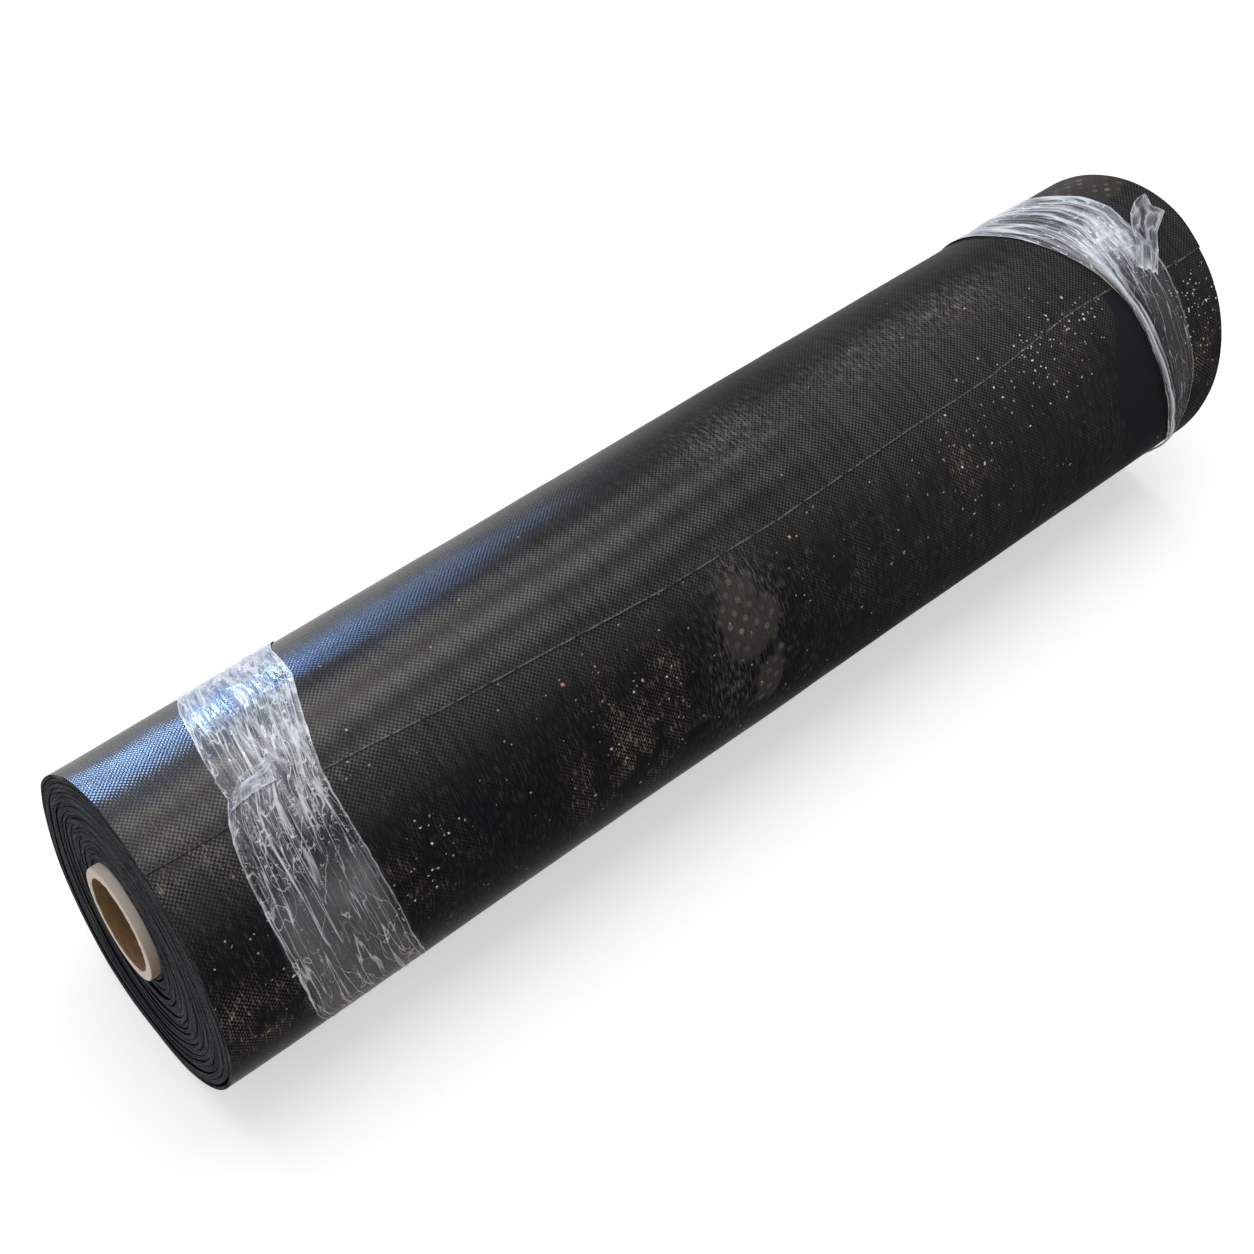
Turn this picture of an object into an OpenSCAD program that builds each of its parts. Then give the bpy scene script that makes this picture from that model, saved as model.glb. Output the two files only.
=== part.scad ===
// Roll of roofing membrane: a thick bitumen sheet wound on a cardboard core and held by two bands of film.
// It lies on its side. X runs along the core from the near end, Y from front to back, Z up from the floor.
// The turns are tight above the core and hang slack below it, so the core sits above the roll's middle.

/* [Sheet] */
// Width of the sheet, which is the length of the wound roll
sheet_width = 1000; // [600:10:1500]
// Thickness of the sheet
sheet_thickness = 3; // [2:0.5:4]
// Full turns of the sheet on the core
turn_count = 20; // [10:1:24]
// Mean slack between two turns: none above the core, and twice as much below it
turn_slack = 1; // [0:0.05:1.5]
// Angle of the sheet's free edge, from straight up towards the front
free_edge_angle = 30; // [5:5:60]
// Angle within which the soft turns take up the step at the free edge, on each side of it
lap_angle = 55; // [40:5:70]

/* [Turns on the ends] */
// How far the outermost turn has slid along the roll, out of line with the innermost
telescope = 5; // [0:0.5:6]
// How far single turns stand in or out of that line
turn_wander = 0.8; // [0:0.1:1.2]
// Width of the groove between two turns where they are tight
groove_width = 0.4; // [0.2:0.1:0.8]
// Depth of the groove between two turns
groove_depth = 3; // [1:0.5:6]

/* [Core] */
// Inside diameter of the cardboard tube
core_bore = 70; // [50:1:102]
// Wall of the cardboard tube
core_wall = 8; // [5:0.5:12]
// How far the tube stands out of the innermost turn at each end
core_overhang = 8; // [7.5:0.5:20]
// Bevel round the rims of the tube
core_bevel = 0.6; // [0.2:0.1:1.2]
// Gap between the tube and the innermost turn
core_gap = 0.2; // [0.1:0.05:0.4]

/* [Film bands] */
// Thickness of the film, with all its layers pressed together
film_thickness = 0.6; // [0.4:0.1:1.2]
// Gap between the film and the sheet
film_gap = 0.3; // [0.2:0.05:0.5]
// Width of the near band along the roll
near_band_width = 80; // [50:5:100]
// Distance from the near end to the middle of the near band
near_band_place = 143; // [110:1:180]
// How far the slant of the near band carries it along the roll, each way
near_band_slant = 45; // [0:1:50]
// Direction in which the near band leans to the near end, from straight up towards the front
near_band_lean = 52; // [0:1:90]
// Mean width of the far band, which is gathered into a rope on one side
far_band_width = 46; // [40:1:60]
// Distance from the far end to the outer edge of the far band
far_band_place = 28; // [15:1:60]
// How much the far band is wider or narrower than its mean width
far_band_taper = 37; // [0:1:38]
// Direction in which the far band is widest, from straight up towards the front
far_band_lean = -30; // [-60:1:30]

/* [Hidden] */
$fn = 96;

// Length that reaches past the roll on every side
reach = 4 * sheet_width;

last_turn = turn_count - 1;
turn_pitch = sheet_thickness + turn_slack;
core_radius = core_bore / 2 + core_wall;
core_rise = last_turn * turn_slack;
wound_bore = core_radius + core_gap;
wound_radius = wound_bore + last_turn * turn_pitch + sheet_thickness;
axis_height = wound_radius + film_gap + film_thickness;

// Room at each end for the turns that stand in or out
end_room = 2 * (telescope + turn_wander) + groove_depth;

// The lap is shaped by two shifted circles that meet the round at the lap's angle, one each side of the edge
lap_growth = (wound_radius * sheet_thickness * cos(lap_angle) - pow(sheet_thickness, 2) / 4)
    / (2 * wound_radius * (1 - cos(lap_angle)) + sheet_thickness);
lap_shift = lap_growth + sheet_thickness / 2;

// How far a turn has slid along the roll: the outer turns most, each with a wander of its own
function turn_slide(turn) = telescope * pow(turn / last_turn, 3) + turn_wander * sin(137 * turn);

// Lays a solid that was built along Z on the floor, with its near end at -X
module lie_down() {
    translate([-sheet_width / 2, 0, axis_height])
        rotate([90, 0, 90])
            children();
}

// Side of the free edge's plane: 1 is that of the turn that ends there, -1 that of the turn below it
module edge_side(side) {
    translate([side > 0 ? 0 : -reach, -reach])
        square([reach, 2 * reach]);
}

// The part of the last turn that stands out of the round as it rises to its free edge, which points up
module lap_above(grow) {
    intersection() {
        translate([0, lap_shift])
            circle(r = wound_radius - lap_growth + grow);
        edge_side(1);
    }
}

// The part of the round that is missing where the turn below dips under the free edge
module lap_below(grow) {
    difference() {
        edge_side(-1);
        translate([0, -lap_shift])
            circle(r = wound_radius + lap_growth + grow);
    }
}

// Cross-section of the roll, grown all round: a circle with a step of one sheet at the free edge
module roll_section(grow) {
    rotate(free_edge_angle) {
        difference() {
            circle(r = wound_radius + grow);
            lap_below(grow);
        }
        lap_above(grow);
    }
}

// The roll's cross-section with its step spanned by a straight run, as film stretched over it lies
module film_section(grow) {
    below_radius = wound_radius + lap_growth + grow;
    span = acos(below_radius / (below_radius + sheet_thickness));
    roll_section(grow);
    rotate(free_edge_angle)
        translate([0, -lap_shift])
            polygon([
                [0, 0],
                [0, below_radius + sheet_thickness],
                [-below_radius * sin(span), below_radius * cos(span)]
            ]);
}

// Everything past a plane that leans by the given slide along the roll, on its far side
module past_plane(place, slide, lean) {
    translate([0, 0, place])
        rotate([0, 0, lean])
            rotate([-atan(slide / wound_radius), 0, 0])
                translate([-reach, -reach, 0])
                    cube([2 * reach, 2 * reach, reach]);
}

// Disc that ends the given distance outside the inner face of a turn
module turn_disc(turn, past) {
    translate([0, turn_slack * (last_turn - turn)])
        circle(r = wound_bore + turn * turn_pitch + past);
}

// A shape that reaches past both ends of the roll, from the given places outwards
module off_the_ends(near_place, far_place) {
    translate([0, 0, near_place - 2 * end_room])
        linear_extrude(height = 2 * end_room)
            children();
    translate([0, 0, far_place])
        linear_extrude(height = 2 * end_room)
            children();
}

// Trims one turn to the place it has slid to. The trim reaches into the grooves beside the turn
module trimmed_turn(turn) {
    inside = turn > 0 ? groove_width / 4 : core_wall;
    outside = turn < last_turn ? -groove_width * 3 / 4 : sheet_thickness;
    off_the_ends(turn_slide(turn), sheet_width + turn_slide(turn))
        difference() {
            turn_disc(turn, sheet_thickness + outside);
            turn_disc(turn, -inside);
        }
}

// The groove outside one turn, which widens downwards with the slack
module groove(turn) {
    near_place = max(turn_slide(turn), turn_slide(turn + 1)) + groove_depth;
    far_place = sheet_width + min(turn_slide(turn), turn_slide(turn + 1)) - groove_depth;
    off_the_ends(near_place, far_place)
        difference() {
            turn_disc(turn + 1, 0);
            turn_disc(turn, sheet_thickness - groove_width);
        }
}

// One band of film between two leaning planes
module film_band(near_edge, near_slide, far_edge, far_slide, lean) {
    lie_down()
        difference() {
            intersection() {
                linear_extrude(height = sheet_width)
                    difference() {
                        film_section(film_gap + film_thickness);
                        film_section(film_gap);
                    }
                past_plane(near_edge, near_slide, lean);
            }
            past_plane(far_edge, far_slide, lean);
        }
}

// The wound sheet: a round solid with its bore, its turns on both ends, and the lap where the last turn ends
module membrane() {
    color([0.06, 0.06, 0.07])
        lie_down()
            difference() {
                translate([0, 0, -end_room])
                    linear_extrude(height = sheet_width + 2 * end_room)
                        difference() {
                            roll_section(0);
                            turn_disc(0, 0);
                        }
                for (turn = [0 : last_turn])
                    trimmed_turn(turn);
                for (turn = [0 : last_turn - 1])
                    groove(turn);
            }
}

module core() {
    length = sheet_width + 2 * core_overhang;
    color([0.76, 0.62, 0.45])
        lie_down()
            translate([0, core_rise, -core_overhang])
                rotate_extrude()
                    polygon([
                        [core_bore / 2, core_bevel],
                        [core_bore / 2 + core_bevel, 0],
                        [core_radius - core_bevel, 0],
                        [core_radius, core_bevel],
                        [core_radius, length - core_bevel],
                        [core_radius - core_bevel, length],
                        [core_bore / 2 + core_bevel, length],
                        [core_bore / 2, length - core_bevel]
                    ]);
}

module near_film_band() {
    near_edge = near_band_place - near_band_width / 2;
    far_edge = near_band_place + near_band_width / 2;
    color([0.85, 0.88, 0.9, 0.4])
        film_band(near_edge, near_band_slant, far_edge, near_band_slant, near_band_lean);
}

module far_film_band() {
    far_edge = sheet_width - far_band_place;
    near_edge = far_edge - far_band_width;
    color([0.85, 0.88, 0.9, 0.4])
        film_band(near_edge, far_band_taper, far_edge, 0, far_band_lean);
}

membrane();
core();
near_film_band();
far_film_band();
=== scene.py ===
"""Roll of roofing membrane: the looks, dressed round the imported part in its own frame.

The wound sheet, the core, the bands of film and the studio are classes that build their meshes and dress
them. Lengths are in metres. Angles on the roll are in degrees, from straight up towards the front.
"""

import logging
import math
from dataclasses import dataclass
from enum import Enum
from functools import partial
from typing import Any

import bpy
import numpy as np
from mathutils import Matrix, Vector


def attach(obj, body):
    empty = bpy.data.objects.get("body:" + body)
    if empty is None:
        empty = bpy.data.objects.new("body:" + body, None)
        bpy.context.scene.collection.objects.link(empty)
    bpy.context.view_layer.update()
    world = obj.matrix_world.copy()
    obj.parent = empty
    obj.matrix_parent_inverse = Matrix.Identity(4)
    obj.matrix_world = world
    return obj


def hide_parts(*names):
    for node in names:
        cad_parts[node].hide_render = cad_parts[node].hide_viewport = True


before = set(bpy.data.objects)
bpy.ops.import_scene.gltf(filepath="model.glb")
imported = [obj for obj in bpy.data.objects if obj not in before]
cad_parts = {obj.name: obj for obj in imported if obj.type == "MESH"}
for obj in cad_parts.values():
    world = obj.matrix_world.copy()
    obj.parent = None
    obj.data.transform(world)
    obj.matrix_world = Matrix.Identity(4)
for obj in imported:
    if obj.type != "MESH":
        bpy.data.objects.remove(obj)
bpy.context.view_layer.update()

LOG = logging.getLogger("roll")
MM = 0.001
TURN = 360.0
BODY = "root"
UV_NAME = "UVMap"
SMOOTH_ANGLE = 50.0
# Blender's wave texture repeats after this length at a scale of 1
WAVE_PERIOD = 0.314

Pixel = tuple[float, float]


class Slot(Enum):
    """The record's material slots."""

    SHEET = "bitumen_sheet"
    CARDBOARD = "cardboard"
    FILM = "stretch_film"


class Mark(Enum):
    """Marks on the felt, each kept as an attribute of its mesh."""

    BLOOM = "chalk_and_highlight"
    DUST = "dust"
    SPECKS = "specks"
    SCUFF = "scuff"
    PRINT = "print"
    EDGE = "edge"
    GLOSS = "gloss"
    CLEAN = "clean"
    MIST = "mist"


class FilmMark(Enum):
    """Marks on the film, each kept as an attribute of its mesh."""

    VEIL_AND_PAINTED_REFLECTION = "veil"
    CREASED = "creased"
    SCRAWL = "scrawl"
    GRIME = "grime"
    DULL = "dull"


def linear(colour: str) -> tuple[float, float, float, float]:
    """Turns a colour as it is written into the light that a shader reads.

    Args:
        colour: An sRGB hex value such as "#8a7350".

    Returns:
        Linear red, green and blue, and an alpha of 1.
    """
    parts = [int(colour[i : i + 2], 16) / 255 for i in (1, 3, 5)]
    red, green, blue = (p / 12.92 if p <= 0.04045 else ((p + 0.055) / 1.055) ** 2.4 for p in parts)
    return red, green, blue, 1.0


def add_node(
    tree: bpy.types.NodeTree, kind: str, inputs: dict[int | str, Any] | None = None, **settings: Any
) -> bpy.types.Node:
    """Adds one node with its settings, and links or sets its inputs.

    Args:
        tree: The material's node tree.
        kind: Blender's name of the node.
        inputs: What goes into each input: a node or one of its sockets, which is linked, or a value.
        settings: The node's own settings.

    Returns:
        The new node.
    """
    made = tree.nodes.new(kind)
    for name, value in settings.items():
        setattr(made, name, value)
    for key, value in (inputs or {}).items():
        if isinstance(value, bpy.types.Node):
            value = next(socket for socket in value.outputs if socket.enabled)
        if isinstance(value, bpy.types.NodeSocket):
            tree.links.new(value, made.inputs[key])
        else:
            made.inputs[key].default_value = value
    return made


def new_material(name: str) -> tuple[bpy.types.Material, bpy.types.NodeTree]:
    """Makes an empty node material.

    Args:
        name: The material's name.

    Returns:
        The material and its node tree.
    """
    material = bpy.data.materials.new(name)
    material.use_nodes = True
    material.node_tree.nodes.clear()
    return material, material.node_tree


class SmoothNoise:
    """Seeded noise from 0 to 1 on a plane, smooth between the points of a lattice."""

    size: int = 256

    def __init__(self, seed: int, start: tuple[float, float] = (0, 0)) -> None:
        """Draws the lattice from its seed. The start is the place on it that is read as zero."""
        self.lattice = np.random.default_rng(seed).random((self.size, self.size))
        self.start = start

    def at(self, u: np.ndarray, v: np.ndarray) -> np.ndarray:
        """Reads the noise.

        Args:
            u: Places along the first axis, one lattice step apart at 1.
            v: Places along the second axis.

        Returns:
            The noise at each place.
        """
        u, v = u + self.start[0], v + self.start[1]
        low_u, low_v = np.floor(u), np.floor(v)
        part_u, part_v = (p * p * p * (p * (6 * p - 15) + 10) for p in (u - low_u, v - low_v))
        i, j = low_u.astype(int) % self.size, low_v.astype(int) % self.size
        k, m = (i + 1) % self.size, (j + 1) % self.size
        near = self.lattice[i, j] * (1 - part_u) + self.lattice[k, j] * part_u
        far = self.lattice[i, m] * (1 - part_u) + self.lattice[k, m] * part_u
        return near * (1 - part_v) + far * part_v

    def ridges(self, u: np.ndarray, v: np.ndarray, sharpness: float) -> np.ndarray:
        """Thin ridges along the noise's middle level, from 0 to 1, the thinner the higher the sharpness."""
        return (1 - np.abs(2 * self.at(u, v) - 1)) ** sharpness


def ramp(value: np.ndarray, low: float, high: float) -> np.ndarray:
    """A smooth step from 0 at low to 1 at high, which may also run downwards."""
    part = np.clip((value - low) / (high - low), 0, 1)
    return part * part * (3 - 2 * part)


def bell(value: np.ndarray, middle: float, width: float) -> np.ndarray:
    """A soft hump that is 1 at its middle."""
    return np.exp(-(((value - middle) / width) ** 2))


def wrap(angle: np.ndarray) -> np.ndarray:
    """Brings angles to between -180 and 180."""
    return (angle + TURN / 2) % TURN - TURN / 2


@dataclass(frozen=True)
class PhotoCamera:
    """The photograph's camera, fitted to the roll's outline, its ends and the core."""

    place: tuple[float, float, float] = (-0.7387, -0.7957, 1.2978)
    ahead: tuple[float, float, float] = (0.4309, 0.5034, -0.7490)
    right: tuple[float, float, float] = (0.7597, -0.6502, 0.0)
    focal_pixels: float = 2040.0
    frame_pixels: float = 1254.0
    sensor_mm: float = 36.0

    def axes(self) -> tuple[Vector, Vector, Vector]:
        """The directions to the right, up and ahead."""
        ahead, right = Vector(self.ahead).normalized(), Vector(self.right).normalized()
        return right, right.cross(ahead), ahead

    def build(self) -> None:
        """Makes the camera and gives it to the scene."""
        right, up, ahead = self.axes()
        data = bpy.data.cameras.new("photo_camera")
        data.sensor_width = self.sensor_mm
        data.lens = self.focal_pixels / self.frame_pixels * self.sensor_mm
        camera = bpy.data.objects.new("photo_camera", data)
        turned = Matrix((right, up, -ahead)).transposed().to_4x4()
        camera.matrix_world = Matrix.Translation(self.place) @ turned
        bpy.context.scene.collection.objects.link(camera)
        bpy.context.scene.camera = camera

    def on_roll(self, pixel: Pixel, shape: "RollShape", lift: float = 0.0) -> tuple[float, float]:
        """Finds the place on the roll that a pixel of the photograph shows.

        Args:
            pixel: Pixel from the left and from the top of the photograph.
            shape: The roll's shape.
            lift: How far above the roll's surface the place is.

        Returns:
            The place along X, and the angle.
        """
        right, up, ahead = self.axes()
        half = self.frame_pixels / 2
        ray = ahead * self.focal_pixels + right * (pixel[0] - half) - up * (pixel[1] - half)
        start = Vector(self.place) - Vector((0, 0, shape.axis_height))
        a = ray.y**2 + ray.z**2
        b = start.y * ray.y + start.z * ray.z
        c = start.y**2 + start.z**2 - (shape.radius + lift) ** 2
        hit = start + ray * ((-b - math.sqrt(max(b * b - a * c, 0.0))) / a)
        return hit.x, math.degrees(math.atan2(-hit.y, hit.z))


@dataclass(frozen=True)
class RollShape:
    """The roll's sizes, as in the part's source, and the dents and leaning ends that the soft sheet adds."""

    axis_height: float = 123.1 * MM
    radius: float = 122.2 * MM
    sheet: float = 3.0 * MM
    half_length: float = 500.0 * MM
    turns: int = 20
    bore: float = 43.2 * MM
    core_rise: float = 19.0 * MM
    lap_angle: float = 55.0
    press: float = 1.9 * MM
    press_angle: float = 18.0
    telescope: float = 4.0 * MM
    lean_front: float = 0.042
    lean_up: float = 0.040
    far_place: float = 503.7 * MM
    far_lean_back: float = 0.022
    far_lean_up: float = 0.174
    ripple_angle: float = 7.0
    ripple_pitch: float = 12.2
    ripple_drift: float = 18.0
    ripple_wander: float = 2.5
    ripples_begin: tuple[float, float] = (-13, -4)
    ripples_end: tuple[float, float] = (34, 24)
    ripples_reach: tuple[float, float] = (200 * MM, -50 * MM)
    ripple_height: float = 0.18 * MM
    broad_dents: tuple[float, float, float] = (130 * MM, 90 * MM, 0.9 * MM)
    small_dents: tuple[float, float, float] = (28 * MM, 140 * MM, 0.3 * MM)
    edge_rounding: float = 20 * MM
    edge_places: tuple[float, ...] = (5, 28, 140, 229, 329, 405, 509, 661, 738, 843, 890, 968, 1000)
    edge_angles: tuple[float, ...] = (21, 22, 23, 27, 30, 32.5, 33.5, 31.5, 31.5, 27, 27, 33, 32)

    def free_edge(self, x: np.ndarray) -> np.ndarray:
        """Where the sheet ends: the measured line, with its corners rounded.

        Args:
            x: Places along X.

        Returns:
            The angle of the free edge at each place.
        """
        places = np.array(self.edge_places) * MM - self.half_length
        offsets = np.linspace(-self.edge_rounding, self.edge_rounding, 9)
        return np.mean([np.interp(x + offset, places, self.edge_angles) for offset in offsets], axis=0)

    def lap(self, below: np.ndarray) -> np.ndarray:
        """How far the surface stands out of the round near the free edge, which the film presses down.

        Args:
            below: Angle below the free edge, which is negative above it.

        Returns:
            The height, which drops at the edge by the step that is left.
        """
        near = math.cos(math.radians(self.lap_angle))
        gained = self.radius * self.sheet * near - self.sheet**2 / 4
        grow = gained / (2 * self.radius * (1 - near) + self.sheet)
        shift = grow + self.sheet / 2
        wrapped = wrap(below)
        side = np.where(wrapped < 0, 1.0, -1.0)
        turned = np.radians(wrapped)
        reach = np.sqrt((self.radius - side * grow) ** 2 - (shift * np.sin(turned)) ** 2)
        height = side * shift * np.cos(turned) + reach - self.radius
        height = np.where(np.abs(wrapped) < self.lap_angle, height, 0.0)
        return height - np.where(wrapped < 0, self.press * ramp(wrapped, -self.press_angle, 0), 0.0)

    def dents(self, x: np.ndarray, angle: np.ndarray) -> np.ndarray:
        """Slight hollows of the soft sheet, and the shallow ripples on its top.

        Args:
            x: Places along X.
            angle: Angles on the roll.

        Returns:
            Heights above the round.
        """
        arc = np.radians(angle) * self.radius
        height = self.ripple_height * self.ripples(x, angle)
        for seed, (along, around, depth) in ((11, self.broad_dents), (12, self.small_dents)):
            height = height + depth * (SmoothNoise(seed, (40, 40)).at(x / along, arc / around) - 0.5)
        return height

    def ripples(self, x: np.ndarray, angle: np.ndarray) -> np.ndarray:
        """The shallow ripples that run along the roll on its top and fade towards the far end.

        Args:
            x: Places along X.
            angle: Angles on the roll.

        Returns:
            The ripples, from -1 to 1.
        """
        turned = wrap(angle)
        wander = SmoothNoise(13, (40, 0)).at(x / (100 * MM), x * 0) - 0.5
        crest = self.ripple_angle - self.ripple_drift * x + self.ripple_wander * wander
        near_top = ramp(turned, *self.ripples_begin) * ramp(turned, *self.ripples_end)
        near_top = near_top * ramp(x, *self.ripples_reach)
        return near_top * np.cos(math.tau * (turned - crest) / self.ripple_pitch)

    def film_surface(self, x: np.ndarray, angle: np.ndarray) -> np.ndarray:
        """The surface on which stretched film lies, with the step at the free edge spanned straight.

        Args:
            x: Places along X.
            angle: Angles on the roll.

        Returns:
            The radius at each place.
        """
        below = wrap(angle - self.free_edge(x))
        low = self.radius - self.sheet / 2
        span = math.degrees(math.acos(low / (low + self.sheet - self.press)))
        line = low / np.cos(np.radians(np.clip(span - below, 0, span)))
        plain = self.radius + self.lap(below)
        spanned = np.where((below >= 0) & (below < span), np.maximum(plain, line), plain)
        return spanned + self.dents(x, angle)

    def points(self, x: np.ndarray, angle: np.ndarray, radius: np.ndarray, floor: float = 0.0) -> np.ndarray:
        """Turns places on the roll into points.

        Args:
            x: Places along X.
            angle: Angles from straight up towards the front.
            radius: Distances from the roll's axis.
            floor: The lowest height that a point may have.

        Returns:
            One row of X, Y and Z for each place.
        """
        turned = np.radians(angle)
        height = np.maximum(self.axis_height + radius * np.cos(turned), floor)
        return np.stack([x, -radius * np.sin(turned), height], axis=-1)

    def end_lean(self, angle: np.ndarray, radius: np.ndarray) -> np.ndarray:
        """How far the near end, which isn't quite square, stands in at each place."""
        turned = np.radians(angle)
        return radius * (self.lean_up * np.cos(turned) - self.lean_front * np.sin(turned))

    def far_end(self, angle: np.ndarray, radius: np.ndarray) -> np.ndarray:
        """Where the far end is, which leans outwards at its top.

        Args:
            angle: Angles on the roll.
            radius: Distances from the roll's axis.

        Returns:
            Places along X.
        """
        turned = np.radians(angle)
        lean = self.far_lean_up * np.cos(turned) - self.far_lean_back * np.sin(turned)
        return self.far_place + radius * lean

    def core_surface(self, angle: np.ndarray) -> np.ndarray:
        """How far the core's outside is from the roll's axis.

        Args:
            angle: Angles on the roll.

        Returns:
            The distance at each angle.
        """
        turned = np.radians(angle)
        rise, side = self.core_rise * np.cos(turned), self.core_rise * np.sin(turned)
        return rise + np.sqrt(self.bore**2 - side**2)

    def slack(self, angle: np.ndarray) -> np.ndarray:
        """The room left between all the turns at each angle: none above the core and most below it."""
        return np.maximum(self.radius - self.core_surface(angle) - self.turns * self.sheet, 0.0)


class Mesh:
    """A piece's mesh as it is being made."""

    def __init__(self, name: str) -> None:
        """Takes the object that was added last, and names it.

        Args:
            name: The piece's name.
        """
        self.object = bpy.context.object
        self.object.name = self.object.data.name = name
        flat = self.read()
        self.u, self.v = flat[:, 0] + 0.5, flat[:, 1] + 0.5

    @classmethod
    def grid(cls, name: str, rows: int, columns: int) -> "Mesh":
        """Adds a flat grid to be shaped.

        Args:
            name: The piece's name.
            rows: Faces along the grid's second side.
            columns: Faces along its first side.

        Returns:
            The grid, one metre square.
        """
        bpy.ops.object.select_all(action="DESELECT")
        bpy.ops.mesh.primitive_grid_add(x_subdivisions=columns, y_subdivisions=rows, size=1.0)
        return cls(name)

    @classmethod
    def pipe(cls, name: str, sides: int, radius: float, length: float, height: float) -> "Mesh":
        """Adds an open tube along X.

        Args:
            name: The piece's name.
            sides: Faces round the tube.
            radius: Its outside radius.
            length: Its length.
            height: The height of its axis.

        Returns:
            The tube, without a wall.
        """
        bpy.ops.object.select_all(action="DESELECT")
        bpy.ops.mesh.primitive_cylinder_add(
            vertices=sides,
            radius=radius,
            depth=length,
            end_fill_type="NOTHING",
            location=(0, 0, height),
            rotation=(0, math.pi / 2, 0),
        )
        bpy.ops.object.transform_apply(location=True, rotation=True, scale=True)
        return cls(name)

    def read(self) -> np.ndarray:
        """Reads the mesh's points.

        Returns:
            One row of X, Y and Z for each point.
        """
        flat = np.zeros(len(self.object.data.vertices) * 3)
        self.object.data.vertices.foreach_get("co", flat)
        return flat.reshape(-1, 3)

    def write(self, points: np.ndarray) -> None:
        """Moves the mesh's points."""
        self.object.data.vertices.foreach_set("co", points.astype(np.float32).ravel())
        self.object.data.update()

    def corners(self) -> np.ndarray:
        """Lists the points at the corners of all faces, face by face.

        Returns:
            One point's number for each corner.
        """
        corner = np.zeros(len(self.object.data.loops), dtype=np.int32)
        self.object.data.loops.foreach_get("vertex_index", corner)
        return corner

    def lay_out(self, along: np.ndarray, across: np.ndarray) -> None:
        """Sets the UV map in metres of sheet, from a place for each point."""
        flat = np.stack([along, across], axis=-1)[self.corners()].astype(np.float32)
        self.object.data.uv_layers[UV_NAME].data.foreach_set("uv", flat.ravel())

    def mark(self, marks: dict[Mark, np.ndarray] | dict[FilmMark, np.ndarray]) -> None:
        """Keeps marks as attributes, for the finish to read.

        Args:
            marks: The marks, each with one number for each point.
        """
        for mark, values in marks.items():
            attribute = self.object.data.attributes.new(mark.value, "FLOAT", "POINT")
            attribute.data.foreach_set("value", np.maximum(values, 0).astype(np.float32))

    def dress(self, *finishes: bpy.types.Material) -> None:
        """Gives the mesh its finishes. The first one covers it."""
        for finish in finishes:
            self.object.data.materials.append(finish)

    def paint(self, chosen: np.ndarray) -> None:
        """Gives the second finish to the faces whose points are all chosen.

        Args:
            chosen: Whether each point is chosen.
        """
        faces = self.object.data.polygons
        starts = np.zeros(len(faces), dtype=np.int32)
        faces.foreach_get("loop_start", starts)
        second = np.minimum.reduceat(chosen[self.corners()].astype(np.int32), starts)
        faces.foreach_set("material_index", second)

    def cut(self, place: float) -> None:
        """Cuts the mesh across, without parting it.

        Args:
            place: Where the cut is along X.
        """
        bpy.ops.object.mode_set(mode="EDIT")
        bpy.ops.mesh.select_all(action="SELECT")
        bpy.ops.mesh.bisect(plane_co=(place, 0, 0), plane_no=(1, 0, 0))
        bpy.ops.object.mode_set(mode="OBJECT")

    def modify(self, kind: str, **settings: Any) -> None:
        """Adds a modifier and applies it.

        Args:
            kind: Blender's name of the modifier.
            settings: Its settings.
        """
        bpy.context.view_layer.objects.active = self.object
        modifier = self.object.modifiers.new(kind.title(), kind)
        for name, value in settings.items():
            setattr(modifier, name, value)
        bpy.ops.object.modifier_apply(modifier=modifier.name)

    def face_outwards(self) -> None:
        """Turns the faces of an open sheet away from the roll's axis."""
        data = self.object.data
        middle = data.polygons[len(data.polygons) // 2]
        away = middle.center - Vector((middle.center.x, 0, RollShape().axis_height))
        if middle.normal.dot(away) < 0:
            data.flip_normals()

    def finish(self, node: str | None, slot: Slot) -> bpy.types.Object:
        """Smooths the piece and fixes it to the part.

        Args:
            node: The CAD node that the piece stands for, or None.
            slot: The record's material slot; not used.

        Returns:
            The finished object.
        """
        bpy.context.view_layer.objects.active = self.object
        self.object.select_set(True)
        bpy.ops.object.shade_smooth_by_angle(angle=math.radians(SMOOTH_ANGLE))
        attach(self.object, BODY)
        if node:
            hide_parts(node)
        LOG.info("%s: %d points", self.object.name, len(self.object.data.vertices))
        return self.object


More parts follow.
